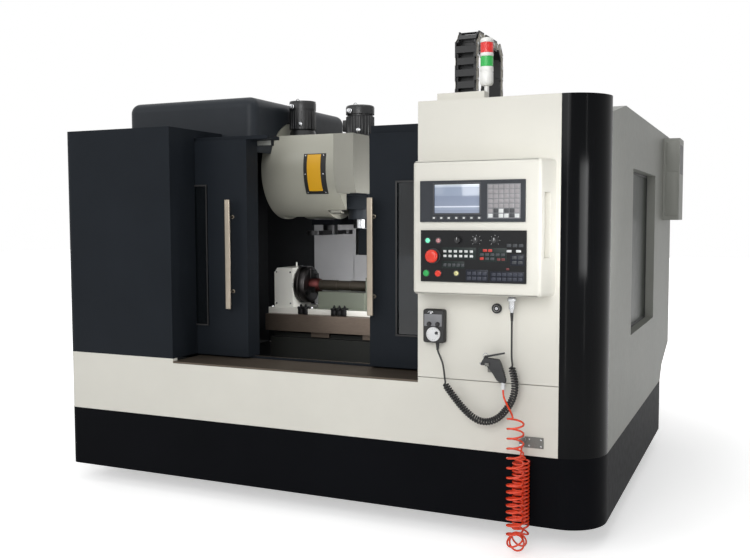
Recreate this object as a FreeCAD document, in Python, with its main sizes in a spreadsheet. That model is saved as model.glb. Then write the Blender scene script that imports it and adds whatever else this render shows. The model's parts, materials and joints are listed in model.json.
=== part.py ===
"""Vertical machining center with sliding doors, a pendant, a disc tool magazine and a rotary axis.

Millimetres. +Z is up and the operator stands in front, on the -Y side. The origin is on the floor,
under the middle of the machine. Below, x is counted from the left side, y from the front plane of
the covers and z from the floor; the functions that make solids move them to the origin.
"""
import FreeCAD
import Part
import math
import os
import Sketcher

os.makedirs("parts", exist_ok=True)
doc = FreeCAD.newDocument("MachiningCenter")

# ------------------------------------------------------------------ driving dimensions
DIMENSIONS = {
    # whole machine
    "base_depth": 2200.0,           # the skirt, front to back
    "body_depth": 2657.0,           # over the rear cabinet
    "foot_height": 100.0,           # floor to the skirt's lower edge
    "skirt_height": 325.0,
    "cover_top": 2050.0,            # top of the cabinet and the side covers
    "left_top": 1999.0,             # top of the dark covers and doors
    "sheet": 4.0,                   # cover sheet thickness
    "skirt_wall": 8.0,
    "left_edge_radius": 40.0,
    "corner_radius": 188.0,         # quarter round corner column
    # front covers
    "left_cover_width": 725.0,
    "opening_width": 1428.0,        # between the left cover and the control cabinet
    "cabinet_width": 675.0,
    "band_top": 747.0,              # top of the lower front band at its left
    "sill_height": 723.0,           # underside of the sill plate
    "sill_thickness": 10.0,
    "seam_height": 752.0,           # joint between the band and the control cabinet
    "seam_gap": 3.0,
    "panel_return": 40.0,           # folded edge of a cover
    "door_setback": 230.0,          # front plane to the doors' faces
    "cabinet_depth": 200.0,
    # doors
    "door_width": 772.0,
    "left_door_edge": 1062.0,       # free edge of the left door, open
    "right_door_edge": 1797.0,      # free edge of the right door, open
    "door_clearance": 0.3,          # door to the lower rail
    "door_top": 1936.0,
    "door_return": 116.0,
    "door_window_width": 250.0,
    "door_window_bottom": 907.0,
    "door_window_top": 1694.0,
    "left_window_inset": 256.0,     # free edge to the window
    "right_window_inset": 147.0,
    "window_glass": 8.0,
    "handle_length": 600.0,
    "handle_bottom": 1010.0,
    "handle_width": 34.0,
    "handle_thickness": 14.0,
    "handle_standoff": 46.0,
    "left_handle_inset": 92.0,      # free edge to the handle's middle
    "right_handle_inset": 26.0,
    "standoff_inset": 95.0,         # handle end to its standoff
    "standoff_radius": 9.0,
    "rail_height": 29.0,
    "rail_depth": 30.0,
    "rail_end": 1150.0,             # right end of the left door's upper rail
    "header_height": 20.0,          # beam over each door
    "header_end": 1185.0,
    "lower_rail_height": 10.0,
    "rail_gap": 0.3,
    "guard_front": 380.0,
    "inside_left": 430.0,           # side guards of the work area
    "inside_right": 2440.0,
    "rear_guard_left": 800.0,
    "rear_guard_right": 2010.0,
    "rear_guard_y": 1500.0,
    # machine casting
    "spindle_x": 1400.0,
    "spindle_y": 970.0,
    "tray_floor": 150.0,            # underside of the coolant tray's floor
    "bed_front": 330.0,
    "bed_rear_clearance": 50.0,     # from the bed's rear face to the skirt's
    "bed_half_width": 400.0,
    "bed_top": 480.0,
    "guide_half_span": 225.0,       # Y guides either side of the spindle plane
    "guide_width": 45.0,
    "guide_height": 38.0,
    "guide_play": 0.05,
    "column_front": 1560.0,
    "column_half_width": 330.0,
    "column_top": 2080.0,
    "column_wall": 80.0,
    "tunnel_half_width": 280.0,
    "tunnel_height": 210.0,
    "z_guide_half_span": 220.0,
    "z_guide_bottom": 900.0,
    "screw_radius": 16.0,
    "screw_play": 0.05,
    "bearing_length": 40.0,
    "servo_size": 130.0,
    "servo_length": 190.0,
    # saddle and table
    "saddle_bottom": 524.0,
    "saddle_half_width": 370.0,
    "saddle_step": 640.0,
    "saddle_top": 790.0,
    "cross_half_length": 500.0,     # cross slide, along X
    "x_guide_height": 25.0,
    "x_guide_half_span": 170.0,
    "table_length": 1050.0,
    "table_depth": 500.0,
    "table_bottom": 830.0,
    "table_thickness": 100.0,
    "slot_pitch": 100.0,
    "slot_width": 18.0,
    "slot_neck": 18.0,
    "slot_foot_width": 30.0,
    "slot_foot_height": 14.0,
    "way_cover_half_width": 262.0,
    "way_cover_height": 566.0,
    "front_way_length": 395.0,
    "rear_way_length": 560.0,
    # head
    "head_bottom": 1560.0,
    "head_half_width": 110.0,
    "slide_half_width": 262.0,
    "slide_thickness": 42.0,
    "slide_top": 1865.0,
    "nose_radius": 75.0,
    "nose_length": 60.0,
    "spindle_radius": 44.0,
    "spindle_reach": 53.0,          # spindle below the head's nose
    "quill_radius": 38.0,
    "quill_length": 260.0,
    "taper_radius": 22.225,         # gauge radius of the 7/24 taper
    "taper_depth": 65.0,
    "drawbar_radius": 8.5,
    "head_cover_half_width": 120.0,
    "head_cover_front": 620.0,
    "head_cover_bottom": 1530.0,
    "head_cover_notch": 1650.0,     # lower edge round the nose
    "head_cover_radius": 260.0,
    "head_cover_wall": 8.0,
    "head_cover_nose": 1395.0,      # left side of the part beside the magazine
    "head_cover_step": 806.0,       # front of the part behind the magazine
    "head_cover_top": 1985.0,
    "spindle_motor_radius": 86.0,
    "spindle_motor_height": 194.0,
    # tool magazine
    "magazine_left": 885.0,
    "magazine_width": 377.0,
    "magazine_radius": 295.0,
    "magazine_y": 970.0,
    "magazine_z": 1797.0,
    "magazine_top": 2000.0,         # flat that carries the motor
    "magazine_wall": 12.0,
    "magazine_cheek": 60.0,         # left end, round all the way up
    "magazine_apron": 1389.0,       # right end of the part in front of the head
    "magazine_apron_back": 800.0,
    "magazine_motor_x": 1035.0,
    "magazine_motor_y": 920.0,
    "magazine_motor_radius": 80.0,
    "magazine_motor_height": 216.0,
    "tool_pots": 24.0,
    "disc_drop": 40.0,              # the tool disc turns below the cover's middle
    "disc_radius": 225.0,
    "pot_circle": 195.0,
    "pot_radius": 22.0,
    "arm_x": 1195.0,
    "drive_height": 35.0,           # drive unit under the magazine
    "arm_drop": 40.0,               # from the drive unit down to the arm
    "seat_gap": 0.3,                # between pieces that are bolted or run together
    "arm_half_length": 205.0,
    # rotary axis on the table
    "rotary_x": 872.0,
    "rotary_y": 905.0,
    "rotary_length": 156.0,
    "rotary_depth": 230.0,
    "rotary_top": 1206.0,
    "rotary_base": 36.0,
    "rotary_base_half": 141.0,
    "rotary_axis": 1100.0,
    "chuck_radius": 112.0,
    "chuck_length": 70.0,
    "bar_radius": 32.0,
    "blank_radius": 40.0,
    "tail_plate_x": 1144.0,
    "tail_block_x": 1183.0,
    "tail_x": 1480.0,
    "tail_length": 90.0,
    # control cabinet and pendant
    "pendant_left": 2180.0,
    "pendant_width": 591.0,
    "pendant_bottom": 1158.0,
    "pendant_height": 607.0,
    "pendant_depth": 130.0,
    "pendant_flare": 36.0,
    "pendant_radius": 18.0,
    "unit_left": 2217.0,
    "unit_width": 488.0,
    "unit_bottom": 1488.0,
    "unit_height": 185.0,
    "bezel": 8.0,
    "screen_width": 212.0,
    "screen_height": 129.0,
    "screen_inset": 69.0,
    "panel_bottom": 1218.0,
    "panel_height": 233.0,
    "stop_radius": 30.0,
    "stop_height": 34.0,
    "push_radius": 14.0,
    "push_height": 12.0,
    # curly cord and air hose
    "cord_diameter": 9.0,
    "curl_radius": 13.0,            # middle of the wire
    "curl_pitch": 12.0,
    "hose_diameter": 9.0,
    "hose_coil_radius": 36.0,
    # stack light and drag chain
    "stack_x": 2440.0,
    "stack_y": 150.0,
    "stack_radius": 31.0,
    "stack_pole": 74.0,
    "lens_height": 48.0,
    "chain_left": 1865.0,
    "chain_width": 135.0,
    "chain_front": 1355.0,
    "chain_depth": 68.0,
    "chain_pitch": 71.5,
    "chain_rise": 505.0,            # upright runs
    "chain_run": 440.0,             # run along the top
    "chain_plate": 9.0,             # side plate thickness
    "chain_lid": 5.0,
    # rear cabinet, heat exchanger, hood
    "rear_cabinet_bottom": 900.0,
    "rear_cabinet_width": 1400.0,
    "exchanger_depth": 100.0,
    "exchanger_y": 2185.0,
    "exchanger_length": 255.0,
    "exchanger_bottom": 1490.0,
    "exchanger_height": 530.0,
    "hood_left": 40.0,
    "hood_width": 906.0,
    "hood_bottom": 1889.0,
    "hood_front": 500.0,
    "hood_depth": 1200.0,
    "hood_top": 2210.0,
    "hood_arch": 6.0,               # hood to the magazine's cover
    "hood_radius": 60.0,
    # side window
    "side_window_y": 850.0,
    "side_window_length": 930.0,
    "side_window_bottom": 890.0,
    "side_window_height": 870.0,
    "side_window_depth": 60.0,
}


class Size:
    """A length that carries its value and the sheet expression that it comes from."""

    def __init__(self, text, value):
        self.text = text
        self.value = value

    def _join(self, sign, other, value):
        text = other.text if isinstance(other, Size) else repr(float(other))
        return Size("(" + self.text + " " + sign + " " + text + ")", value)

    def __add__(self, other):
        return self._join("+", other, self.value + float(other))

    def __sub__(self, other):
        return self._join("-", other, self.value - float(other))

    def __mul__(self, other):
        return self._join("*", other, self.value * float(other))

    def __truediv__(self, other):
        return self._join("/", other, self.value / float(other))

    def __radd__(self, other):
        return size(other) + self

    def __rsub__(self, other):
        return size(other) - self

    def __rmul__(self, other):
        return size(other) * self

    def __neg__(self):
        return size(0) - self

    def __float__(self):
        return float(self.value)


def size(value):
    """A plain number as a Size; a Size stays itself."""
    return value if isinstance(value, Size) else Size(repr(float(value)), float(value))


class Sheet:
    """The spreadsheet of driving dimensions, read as attributes."""

    def __init__(self, values):
        sheet = doc.addObject("Spreadsheet::Sheet", "Dims")
        for row, (name, value) in enumerate(values.items(), start=1):
            sheet.set("A%d" % row, name)
            sheet.set("B%d" % row, str(value))
            sheet.setAlias("B%d" % row, name)
            setattr(self, name, Size("Dims." + name, value))


d = Sheet(DIMENSIONS)
doc.recompute()

# ------------------------------------------------------------------ places worked out from them
cabinet_x = d.left_cover_width + d.opening_width
column_x = cabinet_x + d.cabinet_width
machine_width = column_x + d.corner_radius      # over the side covers
front_reach = d.pendant_depth + d.bezel + d.stop_height
centre_x = (machine_width + d.exchanger_depth) / 2
centre_y = (d.body_depth - front_reach) / 2
skirt_top = d.foot_height + d.skirt_height
guide_top = d.bed_top + d.guide_height
bed_back = d.base_depth - d.bed_rear_clearance
sill_top = d.sill_height + d.sill_thickness
door_bottom = sill_top + d.lower_rail_height + d.door_clearance
table_top = d.table_bottom + d.table_thickness
drive_top = d.magazine_z - d.magazine_radius - d.seat_gap
arm_height = drive_top - d.drive_height - d.arm_drop
nodes = {}


# ------------------------------------------------------------------ makers of solids
def place(item, x, y, z):
    """Move an object to x, y, z, counted from the left, the front and the floor."""
    for axis, value in (("x", size(x) - centre_x), ("y", size(y) - centre_y), ("z", size(z))):
        item.setExpression("Placement.Base." + axis, value.text)
    return item


def box(x, y, z, length, width, height):
    item = doc.addObject("Part::Box", "Block")
    for name, value in (("Length", length), ("Width", width), ("Height", height)):
        item.setExpression(name, size(value).text)
    return place(item, x, y, z)


def span(x0, x1, y0, y1, z0, z1):
    """A block between two limits along each axis."""
    return box(x0, y0, z0, size(x1) - x0, size(y1) - y0, size(z1) - z0)


TURNS = {
    "z": FreeCAD.Rotation(),
    "x": FreeCAD.Rotation(FreeCAD.Vector(0, 1, 0), 90),
    "y": FreeCAD.Rotation(FreeCAD.Vector(1, 0, 0), -90),
}


def rod(axis, x, y, z, radius, length):
    """A cylinder from x, y, z along an axis."""
    item = doc.addObject("Part::Cylinder", "Rod")
    item.Placement.Rotation = TURNS[axis]
    item.setExpression("Radius", size(radius).text)
    item.setExpression("Height", size(length).text)
    return place(item, x, y, z)


def cone(axis, x, y, z, radius, end_radius, length):
    item = doc.addObject("Part::Cone", "Cone")
    item.Placement.Rotation = TURNS[axis]
    item.setExpression("Radius1", size(radius).text)
    item.setExpression("Radius2", size(end_radius).text)
    item.setExpression("Height", size(length).text)
    return place(item, x, y, z)


def fuse(*items):
    if len(items) == 1:
        return items[0]
    item = doc.addObject("Part::MultiFuse", "Union")
    item.Shapes = list(items)
    item.Refine = True
    return item


def cut(base, *tools):
    item = doc.addObject("Part::Cut", "Cut")
    item.Base = base
    item.Tool = fuse(*tools)
    return item


def group(*items):
    """Separate solids kept in one node."""
    item = doc.addObject("Part::Compound", "Group")
    item.Links = list(items)
    return item


PLANES = {"xy": "XY_Plane", "xz": "XZ_Plane", "yz": "YZ_Plane"}


def profile(plane, points, start, length):
    """A closed outline on a plane, padded along the plane's third axis from start."""
    body = doc.addObject("PartDesign::Body", "Profile")
    role = PLANES[plane]
    face = [item for item in body.Origin.OriginFeatures if item.Role == role][0]
    sketch = body.newObject("Sketcher::SketchObject", "Outline")
    sketch.AttachmentSupport = [(face, "")]
    sketch.MapMode = "FlatFace"
    shift = {"xy": (centre_x, centre_y), "xz": (centre_x, 0), "yz": (centre_y, 0)}[plane]
    corners = [(size(u) - shift[0], size(v) - shift[1]) for u, v in points]
    count = len(corners)
    for index in range(count):
        here, there = corners[index], corners[(index + 1) % count]
        sketch.addGeometry(Part.LineSegment(FreeCAD.Vector(float(here[0]), float(here[1]), 0),
                                            FreeCAD.Vector(float(there[0]), float(there[1]), 0)))
    for index in range(count):
        sketch.addConstraint(Sketcher.Constraint("Coincident", index, 2, (index + 1) % count, 1))
    for index, corner in enumerate(corners):
        for kind, value in zip(("DistanceX", "DistanceY"), corner):
            number = sketch.addConstraint(Sketcher.Constraint(kind, -1, 1, index, 1, float(value)))
            sketch.setExpression("Constraints[%d]" % number, value.text)
    pad = body.newObject("PartDesign::Pad", "Pad")
    pad.Profile = sketch
    pad.setExpression("Length", size(length).text)
    pad.Reversed = plane == "xz"
    third = {"xy": "z", "xz": "y", "yz": "x"}[plane]
    offset = {"xy": 0, "xz": centre_y, "yz": centre_x}[plane]
    sketch.setExpression("AttachmentOffset.Base.z",
                         ((size(start) - offset) * (-1 if third == "y" else 1)).text)
    sketch.Visibility = False
    return body


def rounded(base, radius, *picks):
    """Fillet the edges of base whose middles lie nearest to the given places."""
    doc.recompute()
    edges = base.Shape.Edges
    chosen = []
    for x, y, z in picks:
        spot = FreeCAD.Vector(float(x) - float(centre_x), float(y) - float(centre_y), float(z))
        middles = [edge.valueAt((edge.FirstParameter + edge.LastParameter) / 2) for edge in edges]
        distances = [(middle - spot).Length for middle in middles]
        chosen.append(distances.index(min(distances)) + 1)
    item = doc.addObject("Part::Fillet", "Rounded")
    item.Base = base
    item.Edges = [(number, float(radius), float(radius)) for number in sorted(set(chosen))]
    return item


def node(name, item):
    """Name the finished sub-part."""
    item.Label = name
    nodes[name] = item
    return item


def servo(axis, x, y, z, length, square=None):
    """A servo motor: flange plate, square body and round encoder cap, its flange at x, y, z.

    Along z the motor hangs below its flange.
    """
    side = square or d.servo_size
    half = side / 2
    plate = 12
    cap = 34
    if axis == "x":
        flange = box(x, y - half, z - half, plate, side, side)
        body = box(x + plate, y - half + 6, z - half + 6, length - plate - cap, side - 12, side - 12)
        end = rod("x", x + length - cap, y, z, half - 12, cap)
    elif axis == "y":
        flange = box(x - half, y, z - half, side, plate, side)
        body = box(x - half + 6, y + plate, z - half + 6, side - 12, length - plate - cap, side - 12)
        end = rod("y", x, y + length - cap, z, half - 12, cap)
    else:
        flange = box(x - half, y - half, z - plate, side, side, plate)
        body = box(x - half + 6, y - half + 6, z - length + cap, side - 12, side - 12, length - plate - cap)
        end = rod("z", x, y, z - length, half - 12, cap)
    return fuse(flange, body, end)


# ------------------------------------------------------------------ base and castings
def make_feet():
    pad_radius, pad_height = 60, 22
    feet = []
    for x in (350, 1120, 1896, 2666):
        for y in (420, 1850):
            pad = cone("z", x, y, 0, pad_radius, pad_radius - 12, pad_height)
            stud = rod("z", x, y, pad_height, 16, d.tray_floor - pad_height)
            nut = rod("z", x, y, d.tray_floor - 30, 28, 30)
            feet.append(fuse(pad, stud, nut))
    node("levelling_feet", group(*feet))


def make_skirt():
    wall = d.skirt_wall
    base = span(0, machine_width, 0, d.base_depth, d.foot_height, skirt_top)
    mid = d.foot_height + d.skirt_height / 2
    outer = rounded(base, d.corner_radius, (machine_width, 0, mid))
    outer = rounded(outer, d.left_edge_radius, (0, 0, mid))
    inner = span(wall, machine_width - wall, wall, d.base_depth - wall, d.tray_floor + wall, skirt_top + 1)
    inner = rounded(inner, d.corner_radius - wall, (machine_width - wall, wall, mid + 30))
    inner = rounded(inner, d.left_edge_radius - wall, (wall, wall, mid + 30))
    under = span(wall, machine_width - wall, wall, d.base_depth - wall, d.foot_height - 1, d.tray_floor)
    under = rounded(under, d.corner_radius - wall, (machine_width - wall, wall, 125))
    under = rounded(under, d.left_edge_radius - wall, (wall, wall, 125))
    node("base_skirt", cut(outer, inner, under))


def make_bed():
    left = d.spindle_x - d.bed_half_width
    right = d.spindle_x + d.bed_half_width
    floor = d.tray_floor + d.skirt_wall
    casting = span(left, right, d.bed_front, bed_back, floor, d.bed_top)
    channel = span(d.spindle_x - 100, d.spindle_x + 100, d.bed_front + 90, bed_back + 1, 340, d.bed_top + 1)
    pockets = []
    for side in (left, right - 90):
        for index in range(4):
            y = d.bed_front + 80 + index * 430
            pockets.append(box(side - 1, y, floor + 60, 92, 300, 180))
    bed = cut(casting, channel, *pockets)
    rails = []
    for sign in (-1, 1):
        x = d.spindle_x + d.guide_half_span * sign
        rails.append(box(x - d.guide_width / 2, 400, d.bed_top,
                         d.guide_width, d.column_front - 420, d.guide_height))
    blocks = []
    for y in (450, 1430):
        block = box(d.spindle_x - 100, y, 340, 200, d.bearing_length, d.bed_top - 340)
        blocks.append(block)
    bore = rod("y", d.spindle_x, 440, y_screw_z, d.screw_radius + d.screw_play, 1040)
    node("machine_bed", cut(fuse(bed, *rails, *blocks), bore))


def make_column():
    left = d.spindle_x - d.column_half_width
    right = d.spindle_x + d.column_half_width
    casting = span(left, right, d.column_front, bed_back, d.bed_top, d.column_top)
    tunnel = span(d.spindle_x - d.tunnel_half_width, d.spindle_x + d.tunnel_half_width,
                  d.column_front - 1, bed_back + 1, d.bed_top - 1, d.bed_top + d.tunnel_height)
    wall = d.column_wall
    pockets = []
    for low, high in ((720, 1120), (1160, 1560), (1600, 1980)):
        pockets.append(span(left + wall, right - wall, d.column_front + wall, bed_back + 1, low, high))
    column = cut(casting, tunnel, *pockets)
    rails = []
    for sign in (-1, 1):
        x = d.spindle_x + d.z_guide_half_span * sign
        rails.append(box(x - d.guide_width / 2, d.column_front - d.guide_height, d.z_guide_bottom,
                         d.guide_width, d.guide_height, d.column_top - 10 - d.z_guide_bottom))
    depth = 40
    blocks = []
    for z in (d.z_guide_bottom + 10, d.column_top - 50):
        blocks.append(box(d.spindle_x - 60, d.column_front - depth, z, 120, depth, d.bearing_length))
    bore = rod("z", d.spindle_x, z_screw_y, d.z_guide_bottom, d.screw_radius + d.screw_play, 1300)
    belt_cover = span(d.spindle_x - 60, d.spindle_x + 60, d.column_front - 40, d.column_front + 260,
                      d.column_top, d.column_top + 28)
    node("column", fuse(cut(fuse(column, *rails, *blocks), bore), belt_cover))


y_screw_z = 430
x_screw_z = 740
z_screw_y = d.column_front - 22


def make_screws():
    """Three ball screws, one for each linear axis."""
    node("y_ball_screw", rod("y", d.spindle_x, 450, y_screw_z, d.screw_radius, 1019.7))
    node("x_ball_screw", rod("x", d.spindle_x - d.cross_half_length + 5, d.spindle_y, x_screw_z,
                             d.screw_radius, d.cross_half_length * 2 - 5.3))
    node("z_ball_screw", rod("z", d.spindle_x, z_screw_y, d.z_guide_bottom + 5, d.screw_radius,
                             d.column_top - 15 - d.z_guide_bottom))


def carriage(x, y, z, length, axis, guide_height, lift):
    """A guide carriage with a groove that rides over the rail, its back at z."""
    play = d.guide_play
    half = d.guide_width / 2
    wide = 22
    if axis == "y":
        block = box(x - half - wide, y, z - lift, d.guide_width + 2 * wide, length, lift)
        groove = box(x - half - play, y - 1, z - lift - 1, d.guide_width + 2 * play, length + 2,
                     lift + 1 - (z - guide_height) + play)
    else:
        block = box(x, y - half - wide, z - lift, length, d.guide_width + 2 * wide, lift)
        groove = box(x - 1, y - half - play, z - lift - 1, length + 2, d.guide_width + 2 * play,
                     lift + 1 - (z - guide_height) + play)
    return cut(block, groove)


def make_saddle():
    x0, x1 = d.spindle_x - d.saddle_half_width, d.spindle_x + d.saddle_half_width
    c0, c1 = d.spindle_x - d.cross_half_length, d.spindle_x + d.cross_half_length
    lower = span(x0, x1, 700, 1240, d.saddle_bottom, d.saddle_step)
    upper = span(c0, c1, 740, 1200, d.saddle_step, d.saddle_top)
    channel = span(c0 + 30, c1 - 30, d.spindle_y - 50, d.spindle_y + 50, 690, d.saddle_top + 1)
    bore = rod("x", c0 - 1, d.spindle_y, x_screw_z, d.screw_radius + d.screw_play, c1 - c0 + 2)
    rails = []
    for sign in (-1, 1):
        y = d.spindle_y + d.x_guide_half_span * sign
        rails.append(box(c0 + 5, y - d.guide_width / 2, d.saddle_top,
                         c1 - c0 - 10, d.guide_width, d.x_guide_height))
    feet = []
    for sign in (-1, 1):
        for y in (715, 1105):
            feet.append(carriage(d.spindle_x + d.guide_half_span * sign, y, d.saddle_bottom, 120, "y",
                                 guide_top, 38))
    nut = span(d.spindle_x - 50, d.spindle_x + 50, 940, 1000, 395, d.saddle_bottom)
    nut_bore = rod("y", d.spindle_x, 930, y_screw_z, d.screw_radius + d.screw_play, 80)
    body = cut(fuse(lower, upper), channel, bore)
    motor = servo("x", c1, d.spindle_y, x_screw_z, d.servo_length, size(120))
    covers = []
    half = d.way_cover_half_width
    for y, length in ((700 - d.front_way_length, d.front_way_length), (size(1240), d.rear_way_length)):
        outer = box(d.spindle_x - half, y, 530, half * 2, length, d.way_cover_height - 530)
        inner = box(d.spindle_x - half + 3, y - 1, 529, half * 2 - 6, length + 2, d.way_cover_height - 532)
        covers.append(cut(outer, inner))
    node("saddle", fuse(body, *rails, *feet, cut(nut, nut_bore), motor, *covers))


def make_table():
    x0 = d.spindle_x - d.table_length / 2
    y0 = d.spindle_y - d.table_depth / 2
    slab = box(x0, y0, d.table_bottom, d.table_length, d.table_depth, d.table_thickness)
    slots = []
    for index in range(-2, 3):
        y = d.spindle_y + d.slot_pitch * index
        slots.append(box(x0 - 1, y - d.slot_width / 2, table_top - d.slot_neck, d.table_length + 2,
                         d.slot_width, d.slot_neck + 1))
        slots.append(box(x0 - 1, y - d.slot_foot_width / 2, table_top - d.slot_neck - d.slot_foot_height,
                         d.table_length + 2, d.slot_foot_width, d.slot_foot_height))
    feet = []
    for sign in (-1, 1):
        for x in (d.spindle_x - 230, d.spindle_x + 110):
            feet.append(carriage(x, d.spindle_y + d.x_guide_half_span * sign, d.table_bottom, 120, "x",
                                 d.saddle_top + d.x_guide_height, 33))
    nut = span(d.spindle_x - 30, d.spindle_x + 30, d.spindle_y - 40, d.spindle_y + 40, 705, d.table_bottom)
    nut_bore = rod("x", d.spindle_x - 40, d.spindle_y, x_screw_z, d.screw_radius + d.screw_play, 80)
    node("table", fuse(cut(slab, *slots), *feet, cut(nut, nut_bore)))


# ------------------------------------------------------------------ head, spindle and magazine
def make_head():
    half = d.head_half_width
    back = d.column_front - 42 - d.guide_play
    slide = span(d.spindle_x - d.slide_half_width, d.spindle_x + d.slide_half_width,
                 back - d.slide_thickness, back, d.head_bottom, d.slide_top)
    body = span(d.spindle_x - half, d.spindle_x + half, 850, back - d.slide_thickness,
                d.head_bottom, d.head_cover_top - d.head_cover_wall)
    ribs = span(d.spindle_x - half, d.spindle_x + half, d.head_cover_step + 12, 851, 1640, 1960)
    nose = rod("z", d.spindle_x, d.spindle_y, d.head_bottom - d.nose_length, d.nose_radius, d.nose_length)
    bore = rod("z", d.spindle_x, d.spindle_y, d.head_bottom - d.nose_length - 1,
               d.quill_radius + d.screw_play,
               d.quill_length + 6)
    blocks = []
    for sign in (-1, 1):
        x = d.spindle_x + d.z_guide_half_span * sign
        for z in (1580, 1750):
            block = box(x - 40, back, z, 80, 30, 100)
            groove = box(x - d.guide_width / 2 - d.guide_play,
                         d.column_front - d.guide_height - d.guide_play, z - 1,
                         d.guide_width + 2 * d.guide_play, 60, 102)
            blocks.append(cut(block, groove))
    nut = box(d.spindle_x - 45, back, 1640, 90, 40, 60)
    nut_bore = rod("z", d.spindle_x, z_screw_y, 1630, d.screw_radius + d.screw_play, 80)
    apron = span(d.spindle_x - 262, d.spindle_x + 262, 1499, 1502, d.head_bottom - 530, d.head_bottom + 5)
    node("headstock", fuse(cut(fuse(slide, body, ribs, nose), bore), *blocks, cut(nut, nut_bore), apron))


def make_head_cover():
    """A sheet cover round the head, rolled under at its front and cut away beside the magazine and nose."""
    half = d.head_cover_half_width
    wall = d.head_cover_wall
    left, right = d.spindle_x - half, d.spindle_x + half
    front, back = d.head_cover_front, size(1440)
    low, high = d.head_cover_bottom, d.head_cover_top
    nose, step = d.head_cover_nose, d.head_cover_step
    outer = rounded(span(left, right, front, back, low, high), d.head_cover_radius, (d.spindle_x, front, low))
    outer = cut(outer, span(left - 1, nose, front - 1, step, low - 1, high + 1))
    inner = span(left + wall, right - wall, front + wall, back + 1, low + wall, high - wall)
    inner = rounded(inner, d.head_cover_radius - wall, (d.spindle_x, front + wall, low + wall))
    inner = cut(inner, span(left, nose + wall, front, step + wall, low, high))
    notch = span(d.spindle_x - 50, right + 1, front - 1, back + 1, low - 1, d.head_cover_notch)
    relief = span(left + 17, d.spindle_x - 49, 840, back + 1, low - 1, low + wall + 1)
    node("head_cover", cut(outer, inner, notch, relief))


def make_spindle():
    bottom = d.head_bottom - d.nose_length - d.spindle_reach
    flange = rod("z", d.spindle_x, d.spindle_y, bottom, d.spindle_radius, d.spindle_reach - 0.3)
    shaft = rod("z", d.spindle_x, d.spindle_y, bottom + 10,
                d.quill_radius, d.quill_length + d.spindle_reach - 10)
    taper = cone("z", d.spindle_x, d.spindle_y, bottom, d.taper_radius,
                 d.taper_radius - d.taper_depth * 7 / 48, d.taper_depth)
    drawbar = rod("z", d.spindle_x, d.spindle_y, bottom + 20, d.drawbar_radius, d.quill_length)
    keys = []
    for sign in (-1, 1):
        keys.append(box(d.spindle_x + sign * 33 - 8, d.spindle_y - 8, bottom - 5, 16, 16, 5))
    node("spindle", fuse(cut(fuse(flange, shaft), taper, drawbar), *keys))


def make_spindle_motor():
    base = d.head_cover_top
    flange = box(d.spindle_x - 85, d.spindle_y - 85, base, 170, 170, 14)
    barrel = rod("z", d.spindle_x, d.spindle_y, base + 14,
                 d.spindle_motor_radius, d.spindle_motor_height - 14)
    box_side = box(d.spindle_x - 100, d.spindle_y - 40, base + 40, 40, 80, 70)
    node("spindle_motor", fuse(flange, barrel, box_side))


def make_magazine():
    """The drum's cover with a flat for its motor, a round cheek and an apron in front of the head."""
    x = d.magazine_left
    y, z = d.magazine_y, d.magazine_z
    r = d.magazine_radius
    wall = d.magazine_wall
    flat = d.magazine_top
    end = x + d.magazine_width
    cheek = x + d.magazine_cheek
    trim = span(cheek, end + 1, y - r - 1, y + r + 1, flat, flat + r)
    shell = cut(rod("x", x, y, z, r, d.magazine_width), trim)
    inner = rod("x", x + wall, y, z, r - wall, d.magazine_width - 2 * wall)
    lid = span(cheek - wall, end, y - r, y + r, flat - wall, flat + r)
    mouth = box(x + 25, d.spindle_y - 90, z - r - 40, 150, 180, 140)
    tip = d.magazine_apron
    edge = d.magazine_apron_back
    apron = cut(rod("x", end, y, z, r, tip - end), span(end - 1, tip + 1, edge, y + r + 1, z - r, z + r),
                span(end - 1, tip + 1, y - r - 1, edge + 1, flat, flat + r))
    pocket = cut(rod("x", end, y, z, r - wall, tip - end - wall),
                 span(end - 1, tip, edge - wall, y + r, z - r, z + r),
                 span(end - 1, tip, y - r, edge, flat - wall, flat + r))
    hub_z = z - d.disc_drop
    hub_length = 30
    hub = rod("x", x + wall - 1, y, hub_z, 60, hub_length)
    node("magazine_cover", fuse(cut(shell, cut(inner, lid), mouth), cut(apron, pocket), hub))
    disc_x = x + wall + hub_length - 0.7
    disc = rod("x", disc_x, y, hub_z, d.disc_radius, 24)
    pots = []
    count = int(float(d.tool_pots))
    for index in range(count):
        turn = 2 * math.pi * index / count
        pots.append(rod("x", disc_x + 20, y + d.pot_circle * math.cos(turn),
                        hub_z + d.pot_circle * math.sin(turn), d.pot_radius, 110))
    node("magazine_disc", fuse(disc, *pots))


def make_arm():
    top = drive_top
    low = top - d.drive_height
    rear = d.magazine_y + d.magazine_radius + d.seat_gap
    edge = d.magazine_left + d.magazine_width
    body = span(edge - 142, edge, d.spindle_y - 100, rear + 12, low, top)
    arm_bracket = span(edge - 190, edge - 130, rear, d.column_front, top - 8, d.magazine_z)
    node("arm_drive_unit", fuse(body, arm_bracket))
    hub = rod("z", d.arm_x, d.spindle_y, arm_height - 20, 45, d.arm_drop + 20 - d.seat_gap)
    bar = box(d.arm_x - 28, d.spindle_y - d.arm_half_length, arm_height - 20, 56, d.arm_half_length * 2, 26)
    jaws = []
    for sign in (-1, 1):
        y = d.spindle_y + d.arm_half_length * sign
        ring = rod("z", d.arm_x, y, arm_height - 20, 48, 26)
        hole = rod("z", d.arm_x, y, arm_height - 21, 32, 28)
        gate = box(d.arm_x - (0 if sign < 0 else 60), y - 24, arm_height - 21, 60, 48, 28)
        jaws.append((ring, hole, gate))
    solid = fuse(hub, bar, *[jaw[0] for jaw in jaws])
    node("change_arm", cut(solid, *[jaw[1] for jaw in jaws], *[jaw[2] for jaw in jaws]))


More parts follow.
